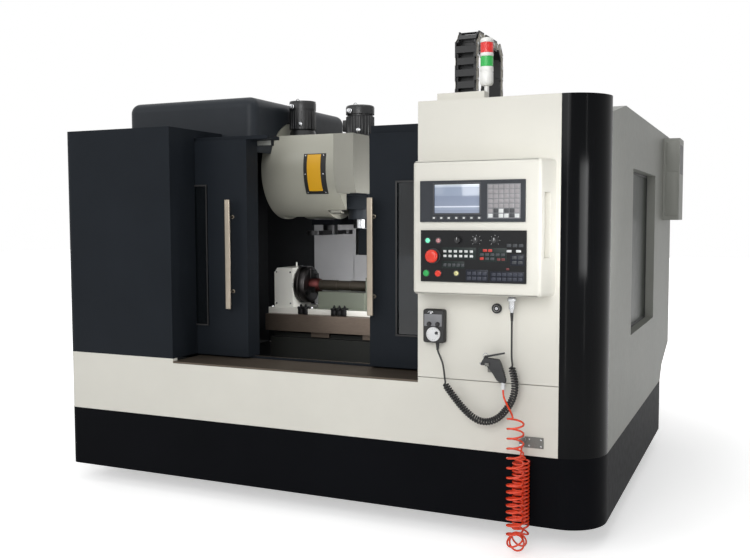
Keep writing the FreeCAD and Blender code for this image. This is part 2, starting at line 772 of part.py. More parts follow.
def make_motors():
    """Servo motors fixed to the frame: Y in the bed, Z in the column, one on the magazine."""
    y_motor = servo("y", d.spindle_x, d.column_front - 90, size(y_screw_z), d.servo_length, size(120))
    z_motor = servo("z", d.spindle_x, d.column_front + 180, d.column_top - 100, size(190))
    r, x, y = d.magazine_motor_radius, d.magazine_motor_x, d.magazine_motor_y
    base = cone("z", x, y, d.magazine_top, r + 8, r - 8, 46)
    barrel = rod("z", x, y, d.magazine_top + 46, r, d.magazine_motor_height - 46)
    node("servo_motors", group(y_motor, z_motor, fuse(base, barrel)))


# ------------------------------------------------------------------ rotary axis
def make_rotary():
    x, y = d.rotary_x, d.rotary_y
    base = box(x, y - d.rotary_base_half, table_top,
               d.rotary_length + 57, 2 * d.rotary_base_half, d.rotary_base)
    z = table_top + d.rotary_base
    outline = [(x + 28, z), (x + d.rotary_length, z), (x + d.rotary_length, d.rotary_top),
               (x + 48, d.rotary_top), (x + 28, d.rotary_top - 30)]
    body = profile("xz", outline, y - d.rotary_depth / 2, d.rotary_depth)
    pin = rod("z", x + 120, y, d.rotary_top, 5, 30)
    hub_bore = rod("x", x + d.rotary_length - 60, y, d.rotary_axis, 45.05, 61)
    node("rotary_housing", cut(fuse(base, body, pin), hub_bore))
    face = x + d.rotary_length
    shaft = rod("x", face - 59.7, y, d.rotary_axis, 45, 60)
    disc = rod("x", face + 0.3, y, d.rotary_axis, d.chuck_radius, d.chuck_length)
    jaws = []
    front = face + 0.3 + d.chuck_length
    for index in range(3):
        turn = math.radians(90 + 120 * index)
        jaw_box = doc.addObject("Part::Box", "Jaw")
        jaw_box.Length, jaw_box.Width, jaw_box.Height = 42, 26, 52
        jaw_box.Placement = FreeCAD.Placement(
            FreeCAD.Vector(float(front - centre_x), float(y - centre_y), float(d.rotary_axis)),
            FreeCAD.Rotation(FreeCAD.Vector(1, 0, 0), math.degrees(turn) - 90),
            FreeCAD.Vector(0, 0, 0))
        low = doc.addObject("Part::Box", "JawStep")
        to_chuck = FreeCAD.Placement(FreeCAD.Vector(0, -13, 36), FreeCAD.Rotation())
        jaw_box.Placement = jaw_box.Placement.multiply(to_chuck)
        low.Length, low.Width, low.Height = 24, 26, 20
        below = FreeCAD.Placement(FreeCAD.Vector(0, 0, -3), FreeCAD.Rotation())
        low.Placement = jaw_box.Placement.multiply(below)
        jaws.append(fuse(jaw_box, low))
    blank = rod("x", front, y, d.rotary_axis, d.blank_radius, 60)
    bar = rod("x", front + 60, y, d.rotary_axis, d.bar_radius, d.tail_x - 0.5 - front - 60)
    node("rotary_chuck", fuse(shaft, disc, *jaws, blank, bar))


def make_tailstock():
    x, y = d.tail_x, d.rotary_y
    z = table_top + d.rotary_base
    plate = span(d.tail_plate_x, x + 110, y - d.rotary_base_half, y + d.rotary_base_half, table_top, z)
    block = span(d.tail_block_x, x + 10, y - 80, y + 80, z, d.rotary_axis - d.bar_radius - 4)
    head = span(x + 10, x + 10 + d.tail_length, y - 60, y + 60, z, d.rotary_axis + 55)
    centre = rod("x", x, y, d.rotary_axis, 20, 12)
    node("tailstock", fuse(plate, block, head, centre))


# ------------------------------------------------------------------ covers
def make_band():
    outline = [(0, skirt_top), (column_x, skirt_top), (column_x, d.seam_height - d.seam_gap),
               (cabinet_x, d.seam_height - d.seam_gap), (cabinet_x, d.sill_height),
               (d.left_cover_width, d.sill_height), (d.left_cover_width, d.band_top), (0, d.band_top)]
    panel = profile("xz", outline, 0, d.panel_return)
    hollow = span(d.sheet, column_x - d.sheet, d.sheet, d.panel_return + 1,
                  skirt_top + d.sheet, d.sill_height - d.sheet)
    seam = (0, 0, (skirt_top + d.band_top) / 2)
    node("lower_front_band", cut(rounded(panel, d.left_edge_radius - 2, seam), hollow))


def make_left_cover():
    z0 = d.band_top
    outer = span(0, d.left_cover_width, 0, d.door_setback - 6, z0, d.left_top)
    outer = rounded(outer, d.left_edge_radius, (0, 0, (z0 + d.left_top) / 2))
    inner = span(d.sheet, d.left_cover_width - d.sheet, d.sheet, d.door_setback,
                 z0 + d.sheet, d.left_top - d.sheet)
    inner = rounded(inner, d.left_edge_radius - d.sheet, (d.sheet, d.sheet, (z0 + d.left_top) / 2))
    strip = span(d.left_cover_width - d.sheet, d.left_cover_width, d.door_setback - 6 - d.sheet, d.hood_front,
                 d.door_top + 2 * d.rail_gap + d.header_height, d.left_top)
    node("left_front_cover", fuse(cut(outer, inner), strip))


def make_left_side():
    y0 = d.door_setback - 6
    y1 = d.base_depth
    top = d.left_top
    skin = span(0, d.panel_return, y0, y1, skirt_top, top)
    hollow = span(d.sheet, d.panel_return + 1, y0 + d.sheet, y1 - d.sheet, skirt_top + d.sheet, top - d.sheet)
    front = span(0, d.panel_return, d.panel_return, y0, skirt_top, d.band_top)
    node("left_side_cover", fuse(cut(skin, hollow), front))


def make_right_side():
    x1 = machine_width
    y0 = d.corner_radius
    y1 = d.body_depth
    outline = [(y0, skirt_top), (d.base_depth, skirt_top), (d.base_depth + 100, skirt_top + 95),
               (y1, 630), (y1, d.cover_top), (y0 + 389, d.cover_top), (y0, d.cover_top - 70)]
    skin = profile("yz", outline, x1 - d.side_window_depth, d.side_window_depth)
    hollow = span(x1 - d.side_window_depth - 1, x1 - d.sheet, y0 + d.sheet, d.base_depth,
                  skirt_top + d.sheet, d.cover_top - 76)
    rear = span(x1 - d.side_window_depth - 1, x1 - d.sheet, d.base_depth - 1, y1 - d.sheet,
                660, d.cover_top - d.sheet)
    wy, wz = d.side_window_y, d.side_window_bottom
    wl, wh = d.side_window_length, d.side_window_height
    frame = box(x1 - d.side_window_depth, wy - d.sheet, wz - d.sheet,
                d.side_window_depth, wl + 2 * d.sheet, wh + 2 * d.sheet)
    hole = box(x1 - d.side_window_depth - 1, wy, wz, d.side_window_depth + 2, wl, wh)
    node("right_side_cover", cut(fuse(cut(skin, hollow, rear), frame), hole))
    glass = box(x1 - d.side_window_depth, wy, wz, d.window_glass, wl, wh)
    node("side_window", glass)


def make_corner():
    r = d.corner_radius
    full = rod("z", column_x, r, skirt_top, r, d.cover_top - skirt_top)
    keep = span(column_x, column_x + r, 0, r, skirt_top, d.cover_top)
    common = doc.addObject("Part::MultiCommon", "Quarter")
    common.Shapes = [full, keep]
    inner = rod("z", column_x, r, skirt_top - 1, r - d.sheet, d.cover_top - skirt_top - d.sheet)
    node("corner_column_cover", cut(common, inner))


def make_control_cabinet():
    z0 = d.seam_height
    outer = span(cabinet_x, column_x, 0, d.cabinet_depth, z0, d.cover_top)
    inner = span(cabinet_x + d.sheet, column_x - d.sheet, d.sheet, d.cabinet_depth + 1,
                 z0 + d.sheet, d.cover_top - d.sheet)
    raised = span(cabinet_x + 77, cabinet_x + 307, 50, 120, d.cover_top, d.cover_top + 38)
    socket = rod("y", 2542, -14, 1093, 21, 14)
    core = rod("y", 2542, -15, 1093, 14, 9)
    node("control_cabinet", fuse(cut(outer, inner), raised, cut(socket, core)))


def make_sill():
    plate = span(d.left_cover_width, cabinet_x, 0, d.door_setback + 130,
                 d.sill_height, d.sill_height + d.sill_thickness)
    node("sill_plate", plate)
    y0 = d.door_setback + 20
    lower = span(480, 2430, y0 + 20, y0 + 40, sill_top, sill_top + d.lower_rail_height)
    bracket_l = span(d.inside_left - 3, d.left_cover_width, y0, d.guard_front, d.sill_height - 10, sill_top)
    bracket_r = span(cabinet_x, d.inside_right + 3, y0, d.guard_front, d.sill_height - 10, sill_top)
    z = d.door_top + d.rail_gap
    rail_y = d.door_setback + d.door_return + d.rail_gap
    rail_back = rail_y + d.rail_depth
    right_end = machine_width - d.side_window_depth
    upper_l = fuse(span(d.sheet, d.header_end, y0, rail_back, z, z + d.header_height),
                   span(d.sheet, d.rail_end, rail_y, rail_back, z - d.rail_height, z))
    upper_r = fuse(span(d.right_door_edge, right_end, y0, rail_back, z, z + 2 * d.header_height),
                   span(d.right_door_edge + 35, right_end, rail_y, rail_back, z - d.rail_height, z))
    node("door_rails", group(fuse(lower, bracket_l, bracket_r), upper_l, upper_r))


def make_door(side):
    left = side == "left"
    edge = d.left_door_edge if left else d.right_door_edge
    x0 = edge - d.door_width if left else edge
    x1 = x0 + d.door_width
    y0 = d.door_setback
    wide = d.door_window_width
    inset = d.left_window_inset if left else d.right_window_inset
    w0 = edge - inset - wide if left else edge + inset
    outer = span(x0, x1, y0, y0 + d.door_return, door_bottom, d.door_top)
    inner = span(x0 + 3, x1 - 3, y0 + 3, y0 + d.door_return + 1, door_bottom + 3, d.door_top - 3)
    hole = span(w0, w0 + wide, y0 - 1, y0 + 4, d.door_window_bottom, d.door_window_top)
    node(side + "_door", cut(outer, inner, hole))
    glass = span(w0 - 20, w0 + wide + 20, y0 + 3, y0 + 3 + d.window_glass,
                 d.door_window_bottom - 20, d.door_window_top + 20)
    node(side + "_door_window", glass)
    hx = edge - d.left_handle_inset if left else edge + d.right_handle_inset
    bar = box(hx - d.handle_width / 2, y0 - d.handle_standoff - d.handle_thickness, d.handle_bottom,
              d.handle_width, d.handle_thickness, d.handle_length)
    legs = []
    for z in (d.handle_bottom + d.standoff_inset, d.handle_bottom + d.handle_length - d.standoff_inset):
        legs.append(rod("y", hx, y0 - d.handle_standoff, z, d.standoff_radius, d.handle_standoff))
    node(side + "_door_handle", fuse(bar, *legs))


def make_guards():
    """Dark sheets either side of the work area, with chutes down to the tray, and the sheets behind it."""
    y0, y1 = d.guard_front, d.rear_guard_y
    skin = 3
    low, high = 640, 1990
    left_x, right_x = d.inside_left, d.inside_right
    split_l, split_r = d.rear_guard_left, d.rear_guard_right
    left_wall = span(left_x - skin, left_x, y0, y1 + skin, low, d.hood_bottom)
    left_back = span(left_x, split_l, y1, y1 + skin, low, d.hood_bottom)
    right_wall = span(right_x, right_x + skin, y0, y1 + skin, low, high)
    right_back = span(split_r, right_x, y1, y1 + skin, low, high)
    left = profile("xz", [(left_x, low - 3), (880, 497), (880, 500), (left_x, low)], y0, y1 - y0)
    right = profile("xz", [(right_x, low - 3), (right_x, low), (1920, 500), (1920, 497)], y0, y1 - y0)
    node("interior_guards", group(fuse(left_wall, left_back, left), fuse(right_wall, right_back, right)))
    half = 285                      # of the opening that the head's slide closes
    x = d.spindle_x
    sheets = [span(split_l, x - half, y1, y1 + skin, low, 1490),
              span(x + half, split_r, y1, y1 + skin, low, high)]
    lower = span(x - half, x + half, y1 - 6, y1 - skin, 700, 1260)
    lap_l = span(x - half - 10, x - half, y1 - 6, y1 + skin, 700, 1260)
    lap_r = span(x + half, x + half + 10, y1 - 6, y1 + skin, 700, 1260)
    node("rear_guard", fuse(*sheets, lower, lap_l, lap_r))


def make_hood():
    wall = d.sheet
    x0, x1 = d.hood_left, d.hood_left + d.hood_width
    y0, y1 = d.hood_front, d.hood_front + d.hood_depth
    shells = []
    for inset, low in ((size(0), d.hood_bottom), (wall, d.hood_bottom - 1)):
        left, right, front, back = x0 + inset, x1 - inset, y0 + inset, y1 - inset
        top = d.hood_top - inset
        middle = (low + top) / 2
        across, along = (left + right) / 2, (front + back) / 2
        shells.append(rounded(span(left, right, front, back, low, top), d.hood_radius - inset,
                              (left, front, middle), (right, front, middle),
                              (right, back, middle), (left, back, middle),
                              (across, front, top), (across, back, top),
                              (left, along, top), (right, along, top)))
    arch = rod("x", d.magazine_left - 4, d.magazine_y, d.magazine_z, d.magazine_radius + d.hood_arch,
               x1 - d.magazine_left + 8)
    node("rear_left_hood", cut(*shells, arch))


def make_rear():
    x1 = machine_width - d.side_window_depth
    x0 = x1 - d.rear_cabinet_width
    y0, y1 = d.base_depth + 10, d.body_depth - 30
    skin = machine_width - d.sheet
    outer = span(x0, skin, y0, y1, d.rear_cabinet_bottom, d.cover_top - 10)
    inner = span(x0 + 4, skin - 4, y0 + 4, y1 + 1, d.rear_cabinet_bottom + 4, d.cover_top - 14)
    node("rear_cabinet", cut(outer, inner))
    door = span(x0 + 2, x1 - 4, y1 + 0.3, d.body_depth - 4, d.rear_cabinet_bottom + 2, d.cover_top - 12)
    node("rear_cabinet_door", door)
    e0 = d.exchanger_y
    body = box(machine_width, e0, d.exchanger_bottom,
               d.exchanger_depth, d.exchanger_length, d.exchanger_height)
    vents = []
    for index in range(8):
        vents.append(box(machine_width + d.exchanger_depth - 8, e0 + d.exchanger_length - 90,
                         d.exchanger_bottom + 300 + index * 18, 9, 70, 8))
    inner = box(machine_width - 1, e0 + 4, d.exchanger_bottom + 4, d.exchanger_depth - 11,
                d.exchanger_length - 8, d.exchanger_height - 8)
    node("heat_exchanger", cut(body, inner, *vents))


# ------------------------------------------------------------------ pendant
def make_pendant():
    x0, x1 = d.pendant_left, d.pendant_left + d.pendant_width
    y0 = -d.pendant_depth
    z0, z1 = d.pendant_bottom, d.pendant_bottom + d.pendant_height
    outline = [(x0 - 15, 0), (x0, y0), (x1, y0), (x1 + d.pendant_flare, 0)]
    body = profile("xy", outline, z0, d.pendant_height)
    zm = (z0 + z1) / 2
    body = rounded(body, d.pendant_radius, (x0, y0, zm), (x1, y0, zm), ((x0 + x1) / 2, y0, z1),
                   (x1 + d.pendant_flare / 2, y0 / 2, z1), (x0 - 7, y0 / 2, z1),
                   ((x0 + x1) / 2, y0, z0), (x1 + d.pendant_flare / 2, y0 / 2, z0), (x0 - 7, y0 / 2, z0))
    slot = box(x1 - 6, -98, 1330, 60, 50, 288)
    inner = span(x0 + 8, x1 - 12, y0 + 4, 1, z0 + 5, z1 - 5)
    node("pendant_housing", cut(body, slot, inner))


def keys(x, y, z, columns, rows, pitch_x, pitch_z, width, height, depth):
    """A block of low keys standing on a panel, in rows and columns from the lower left."""
    items = []
    for row in range(rows):
        for column in range(columns):
            items.append(box(x + pitch_x * column, y - depth, z + pitch_z * row, width, depth, height))
    return items


def make_display():
    y = -d.pendant_depth
    face = y - d.bezel
    x, z = d.unit_left, d.unit_bottom
    plate = box(x, face, z, d.unit_width, d.bezel, d.unit_height)
    screen_x = x + d.screen_inset
    screen_z = z + d.unit_height - 17 - d.screen_height
    recess = box(screen_x, face - 1, screen_z, d.screen_width, 5, d.screen_height)
    soft = keys(screen_x + 4, face, z + 12, 7, 1, 30, 0, 24, 12, 2)
    pad = keys(x + 322, face, z + 62, 6, 5, 24, 21, 19, 15, 2)
    foot = keys(x + 322, face, z + 22, 6, 1, 24, 0, 19, 26, 2)
    glass = box(screen_x, face + 1.5, screen_z, d.screen_width, 2.5, d.screen_height)
    node("display_unit", fuse(cut(plate, recess), *soft, *pad, *foot, glass))


stop_x, stop_z = 2281, 1334
start_x, start_z = 2250, 1256
hold_x, hold_z = 2307, 1256
feed_x, feed_z = 2401, 1407


def make_operator_panel():
    y = -d.pendant_depth
    face = y - d.bezel
    plate = box(d.unit_left + 4, face, d.panel_bottom, d.unit_width + 2, d.bezel, d.panel_height)
    small = keys(2330, face, 1332, 6, 2, 25, 22, 19, 15, 2)
    small += keys(2560, face, 1332, 3, 2, 25, 22, 19, 15, 2)
    small += keys(2645, face, 1300, 2, 5, 26, 22, 20, 15, 2)
    small += keys(2330, face, 1288, 9, 1, 25, 0, 19, 15, 2)
    lamps = [rod("y", x, face - 6, z, 12, 6) for x, z in ((2255, 1404), (2306, 1404), (2392, 1258))]
    knob = [rod("y", 2485, face - 16, 1407, 15, 16), rod("y", 2570, face - 16, 1407, 15, 16)]
    ring = rod("y", stop_x, face - 4, stop_z, 34, 4)
    holes = [rod("y", x, face - 5, z, r, 15) for x, z, r in
             ((stop_x, stop_z, 11.3), (start_x, start_z, 11.3), (hold_x, hold_z, 11.3),
              (feed_x, feed_z, 4.3))]
    node("operator_panel", cut(fuse(plate, *small, *lamps, *knob, ring), *holes))


def make_buttons():
    face = -d.pendant_depth - d.bezel
    stem = rod("y", stop_x, face - 16, stop_z, 11, 18)
    crown = 6
    top = cone("y", stop_x, face - d.stop_height, stop_z, d.stop_radius - crown, d.stop_radius, crown)
    cap = rod("y", stop_x, face - d.stop_height + crown, stop_z, d.stop_radius, 18 - crown)
    node("emergency_stop", fuse(top, cap, stem))
    for name, x, z in (("start_button", start_x, start_z), ("hold_button", hold_x, hold_z)):
        stem = rod("y", x, face - 1, z, 11, 4)
        cap = rod("y", x, face - d.push_height, z, d.push_radius, d.push_height - 4.5)
        neck = rod("y", x, face - 5, z, 11, 6)
        node(name, fuse(cap, stem, neck))
    stem = rod("y", feed_x, face - 2, feed_z, 4, 8)
    cap = rod("y", feed_x, face - 20, feed_z, 15, 19.7)
    grip = box(feed_x - 3, face - 24, feed_z - 14, 6, 4, 28)
    node("feed_override_knob", fuse(stem, cap, grip))


# ------------------------------------------------------------------ handwheel, air gun, stack light, chain
wheel_x, wheel_z = 2250, 965


def make_handwheel():
    housing = span(2195, 2300, -46, 0, 923, 1081)
    housing = rounded(housing, 12, (2195, -46, 1000), (2300, -46, 1000), (2250, -46, 923), (2250, -46, 1081))
    knobs = [rod("y", x, -60, 1048, 12, 15) for x in (2225, 2270)]
    bore = rod("y", wheel_x, -47, wheel_z, 8.3, 20)
    node("handwheel_box", cut(fuse(housing, *knobs), bore))
    disc = rod("y", wheel_x, -58, wheel_z, 34, 11.7)
    knob = rod("y", wheel_x + 20, -74, wheel_z + 8, 7, 16)
    shaft = rod("y", wheel_x, -47, wheel_z, 8, 18)
    node("handwheel_dial", fuse(disc, knob, shaft))


connector_x, connector_y = 2625, -50


def make_connector():
    top = d.pendant_bottom
    body = rod("z", connector_x, connector_y, top - 60, 14, 60)
    nut = rod("z", connector_x, connector_y, top - 24, 19, 14)
    tail = cone("z", connector_x, connector_y, top - 78, 7, 12, 18)
    node("cord_connector", fuse(body, nut, tail))


gun_tail = 732


def make_air_gun():
    hose_x = column_x - 156
    plate = span(hose_x - 11, column_x - 65, -4, 0, 463, 513)
    fitting = rod("y", hose_x, -40, 502, 9, 36)
    elbow = rod("z", hose_x, -40, 478, 11, 30)
    rest = fuse(span(2500, 2560, -4, 0, 796, 842), span(2508, 2526, -74, -3, 835.5, 840.8),
                span(2508, 2526, -77, -73, 835.5, 850))
    node("hose_bracket", group(fuse(plate, fitting, elbow), rest))
    shape = [(2484, 838), (2545, 846), (2562, 800), (2574, 766), (2602, 762), (2606, 800), (2594, 872),
             (2520, 868), (2516, 873.7), (2500, 873.7), (2496, 858), (2484, 848)]
    body = profile("xz", shape, -70, 20)
    tail = rod("z", 2590, -60, gun_tail, 8, 34)
    node("air_gun_body", fuse(body, tail))
    lever = profile("xz", [(2500, 874), (2516, 874), (2596, 894), (2594, 901), (2504, 881)], -66, 12)
    node("air_gun_trigger", lever)


def make_stack_light():
    x, y, r = d.stack_x, d.stack_y, d.stack_radius
    z = d.cover_top
    foot = rod("z", x, y, z, 26, 8)
    pole = rod("z", x, y, z, 11, d.stack_pole)
    base_z = z + d.stack_pole
    base = rod("z", x, y, base_z, r, 88)
    low = base_z + 88
    core = rod("z", x, y, low, 12, 2 * d.lens_height + 16)
    ring = rod("z", x, y, low + d.lens_height, r, 16)
    cap = rod("z", x, y, low + 2 * d.lens_height + 16, r, 24)
    node("stack_light_body", fuse(foot, pole, base, core, ring, cap))
    lenses = []
    for z in (low, low + d.lens_height + 16):
        lenses.append(cut(rod("z", x, y, z, r - 1, d.lens_height),
                          rod("z", x, y, z - 1, 12, d.lens_height + 2)))
    node("stack_light_lenses", group(*lenses))


def make_chain():
    """Hinged links: up from a bracket beside the column, back along the top and down again."""
    bracket_back = d.chain_front + d.chain_run + 1.5 * d.chain_pitch + d.chain_depth + 10
    bracket = span(d.spindle_x + d.column_half_width, d.chain_left + d.chain_width + 10, d.chain_front - 20,
                   bracket_back, d.column_top - 30, d.column_top - 18)
    half = float(d.chain_depth) / 2
    pitch = float(d.chain_pitch)
    width = float(d.chain_width)
    plate = float(d.chain_plate)
    lid = float(d.chain_lid)
    play = float(d.seat_gap)
    lap = 12.0                      # of a side plate past its pin
    lid_lap = 16.0                  # of a lower lid under the next link's lid
    slant = 45.0
    inner_lid = pitch / 2 - half * math.tan(math.radians(slant / 2)) - 1
    upright = int(float(d.chain_rise) // pitch)
    across = int(float(d.chain_run) // pitch)
    slants = [0.0] * upright + [slant] + [90.0] * across + [180.0 - slant] + [180.0] * upright
    pin_y = float(d.chain_front) + half
    pin_z = float(d.column_top) - 18 + lap + play
    links = []
    for index, angle in enumerate(slants):
        turn = math.radians(angle)
        middle_y = pin_y + pitch / 2 * math.sin(turn)
        middle_z = pin_z + pitch / 2 * math.cos(turn)
        low = index % 2             # every second link runs inside its neighbours
        inset = (plate + play) * low
        top = half - (lid + play) * low
        flank = half - plate * low
        parts = []
        for offset in (inset, width - plate - inset):
            parts.append(link_block(offset, plate, flank, -flank, pitch / 2 + lap))
        parts.append(link_block(inset, width - 2 * inset, top, top - lid, pitch / 2 - play + lid_lap * low))
        parts.append(link_block(inset, width - 2 * inset, lid - top, -top, inner_lid))
        link = fuse(*parts)
        link.Placement = FreeCAD.Placement(
            FreeCAD.Vector(float(d.chain_left - centre_x), middle_y - float(centre_y), middle_z),
            FreeCAD.Rotation(FreeCAD.Vector(1, 0, 0), -angle))
        links.append(link)
        pin_y += pitch * math.sin(turn)
        pin_z += pitch * math.cos(turn)
    node("drag_chain", group(bracket, *links))


def link_block(x, length, high, low, half):
    """A block of a chain link, placed in the link's own frame."""
    item = doc.addObject("Part::Box", "LinkBlock")
    item.Length, item.Width, item.Height = length, high - low, 2 * half
    item.Placement.Base = FreeCAD.Vector(x, low, -half)
    return item


# ------------------------------------------------------------------ curly cord and air hose
def vector(x, y, z):
    return FreeCAD.Vector(float(x) - float(centre_x), float(y) - float(centre_y), float(z))


def biarc(start, heading, end, leaving):
    """Two tangent arcs from start to end, along the unit directions heading and leaving."""
    reach = end - start
    both = heading + leaving
    turn = 2 * (1 - heading.dot(leaving))
    along = reach.dot(both)
    if turn > 1e-6:
        arm = (-along + math.sqrt(along * along + turn * reach.dot(reach))) / turn
    else:
        arm = reach.dot(reach) / (2 * along)
    joint = (start + end + (heading - leaving) * arm) * 0.5
    edges = []
    for first, direction, last, flip in ((start, heading, joint, False), (end, leaving * -1, joint, True)):
        chord = last - first
        across = chord - direction * chord.dot(direction)
        if across.Length < 1e-4:
            edges.append(Part.makeLine(last, first) if flip else Part.makeLine(first, last))
            continue
        half_turn = math.atan2(across.Length, chord.dot(direction))
        side = across * (1 / across.Length)
        radius = chord.Length / (2 * math.sin(half_turn))
        middle = (first + direction * (radius * math.sin(half_turn))
                  + side * (radius * (1 - math.cos(half_turn))))
        ends = (last, middle, first) if flip else (first, middle, last)
        edges.append(Part.Arc(*ends).toShape())
    return edges


def tube(stations, diameter, sides):
    """One unbroken tube through stations, each a place and a direction; its ends run straight."""
    edges = []
    first, heading = stations[0]
    lead = first + heading * diameter
    edges.append(Part.makeLine(first, lead))
    last, leaving = stations[-1]
    tail = last - leaving * diameter
    inner = [(lead, heading)] + stations[1:-1] + [(tail, leaving)]
    for here, there in zip(inner, inner[1:]):
        edges += biarc(here[0], here[1], there[0], there[1])
    edges.append(Part.makeLine(tail, last))
    path = Part.Wire(edges)
    turn = FreeCAD.Rotation(FreeCAD.Vector(0, 0, 1), heading)
    corners = []
    for index in range(sides + 1):
        angle = 2 * math.pi * (index + 0.5) / sides
        corner = FreeCAD.Vector(math.cos(angle), math.sin(angle), 0) * (diameter / 2)
        corners.append(first + turn.multVec(corner))
    section = Part.Wire(Part.makePolygon(corners))
    shell = path.makePipeShell([section], True, False)
    points = path.discretize(Number=len(edges) * 6)
    return shell, path, points


def least_gap(points, diameter, skip):
    """The smallest clear distance between turns of a tube, measured on points along it."""
    cell = diameter * 3
    table = {}
    smallest = 1e9
    for index, point in enumerate(points):
        key = (int(point.x // cell), int(point.y // cell), int(point.z // cell))
        for dx in (-1, 0, 1):
            for dy in (-1, 0, 1):
                for dz in (-1, 0, 1):
                    for other in table.get((key[0] + dx, key[1] + dy, key[2] + dz), []):
                        if index - other > skip:
                            smallest = min(smallest, (points[other] - point).Length)
        table.setdefault(key, []).append(index)
    return smallest - diameter


def coil(centre_line, across, radius, pitches, ramp):
    """Half-turn stations of a helix round a planar centre line; across is square to its plane."""
    stations = []
    length = centre_line.Length

    def place_at(distance, turn):
        where = centre_line.getParameterByLength(min(max(distance, 0), length))
        middle = centre_line.valueAt(where)
        along = centre_line.tangentAt(where)
        side = across.cross(along)
        grow = min(1.0, (distance + 0.01) / ramp, (length - distance + 0.01) / ramp)
        return middle + (side * math.cos(turn) + across * math.sin(turn)) * (radius * grow)

    distance, turn, tiny = 0.0, 0.0, 0.02
    while distance < length - 1e-6:
        pitch = pitches(distance / length)
        before = place_at(distance - pitch * tiny, turn - 2 * math.pi * tiny)
        after = place_at(distance + pitch * tiny, turn + 2 * math.pi * tiny)
        heading = after - before
        stations.append((place_at(distance, turn), heading * (1 / heading.Length)))
        distance += pitch / 2
        turn += math.pi
    return stations


def smooth_line(points):
    curve = Part.BSplineCurve()
    curve.interpolate(points)
    return curve.toShape()


def make_cord():
    """The handwheel's curly cord, from its connector down, round and up to the handwheel box."""
    wire = float(d.cord_diameter)
    down = FreeCAD.Vector(0, 0, -1)
    start = vector(connector_x, connector_y, d.pendant_bottom - 78)
    middle_line = smooth_line([vector(x, -50, z) for x, z in
                               ((2622, 842), (2643, 784), (2640, 711), (2615, 655), (2566, 594),
                                (2507, 571), (2450, 582), (2372, 650), (2303, 740))])
    turns = coil(middle_line, FreeCAD.Vector(0, 1, 0), float(d.curl_radius),
                 lambda share: float(d.curl_pitch), 16)
    up = FreeCAD.Vector(-0.05, 0, 1)
    up = up * (1 / up.Length)
    lean = FreeCAD.Vector(-0.3, 0.12, 1)
    lean = lean * (1 / lean.Length)
    stations = [(start, down), (vector(connector_x, connector_y, 960), down),
                (vector(connector_x, connector_y, 862), down)]
    stations += turns[1:-1]
    stations += [(vector(2304, -50, 765), up), (vector(2297, -46, 830), lean),
                 (vector(2262, -25, 923), FreeCAD.Vector(0, 0, 1))]
    return finish_tube("handwheel_cord", stations, wire, 4)


def make_hose():
    """The spiral air hose: a front leg down from the gun, a bend at the floor, a rear leg up."""
    wire = float(d.hose_diameter)
    x = 2674
    front, rear = -155, -55
    bend = (rear - front) / 2
    low = 106
    lowest = vector(x, (front + rear) / 2, low - bend)
    lines = [Part.makeLine(vector(x, front, 655), vector(x, front, low)),
             Part.Arc(vector(x, front, low), lowest, vector(x, rear, low)).toShape(),
             Part.makeLine(vector(x, rear, low), vector(x, rear, 440))]
    path = Part.Wire(lines)
    middle_line = path.approximate(Tol2d=0.01, Tol3d=0.2, MaxSegments=60, MaxDegree=5).toShape()
    total = middle_line.Length

    def pitch(share):
        spot = share * total
        if spot < 300:
            return 44.0
        if spot < 500:
            return 30.0
        if spot < 720:
            return 40.0
        return 17.0

    turns = coil(middle_line, FreeCAD.Vector(1, 0, 0), float(d.hose_coil_radius), pitch, 30)
    down = FreeCAD.Vector(0, 0, -1)
    drop = FreeCAD.Vector(0.45, -0.6, -0.65)
    drop = drop * (1 / drop.Length)
    up = FreeCAD.Vector(0, 0, 1)
    stations = [(vector(2590, -60, gun_tail), down), (vector(2618, -100, 676), drop)]
    stations += turns[1:-1]
    stations += [(vector(2672, -40, 478), up)]
    return finish_tube("air_hose", stations, wire, 4)


def finish_tube(name, stations, wire, sides):
    shell, path, points = tube(stations, wire, sides)
    area = wire * wire / 4 * sides / 2 * math.sin(2 * math.pi / sides)
    print(name, "length", round(path.Length), "volume ratio", round(shell.Volume / (area * path.Length), 4),
          "gap to itself", round(least_gap(points, wire, 12), 2), "valid", shell.isValid())
    item = doc.addObject("Part::Feature", name)
    item.Shape = shell
    return node(name, item)


make_feet()
make_skirt()
make_bed()
make_column()
make_screws()
make_saddle()
make_table()
make_head()
make_head_cover()
make_spindle()
make_spindle_motor()
make_magazine()
make_arm()
make_motors()
make_rotary()
make_tailstock()
make_band()
make_left_cover()
make_left_side()
make_right_side()
make_corner()
make_control_cabinet()
make_sill()
make_door("left")
make_door("right")
make_guards()
make_hood()
make_rear()
make_pendant()
make_display()
make_operator_panel()
make_buttons()
make_handwheel()
make_connector()
make_air_gun()
make_stack_light()
make_chain()
make_cord()
make_hose()

# ------------------------------------------------------------------ check and write
doc.recompute()
for item in doc.Objects:
    if "Invalid" in item.State or "Error" in item.State:
        raise RuntimeError("not built: " + item.Name + " " + item.Label + " " + str(item.State))
for name, item in nodes.items():
    if item.Shape.isNull() or not item.Shape.isValid():
        raise RuntimeError("bad shape: " + name)
for name, item in nodes.items():
    item.Shape.exportStep("parts/" + name + ".step")
print(len(nodes), "nodes written")
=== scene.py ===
"""Looks of a vertical machining center, laid out as a Blender add-on and run as a script.

Places are written in millimetres from the machine's left side, its front plane and the floor.
"""
import json
import math
from contextlib import contextmanager

import bmesh
import bpy
from bpy.props import FloatProperty, FloatVectorProperty, IntProperty, PointerProperty
from mathutils import Matrix, Vector


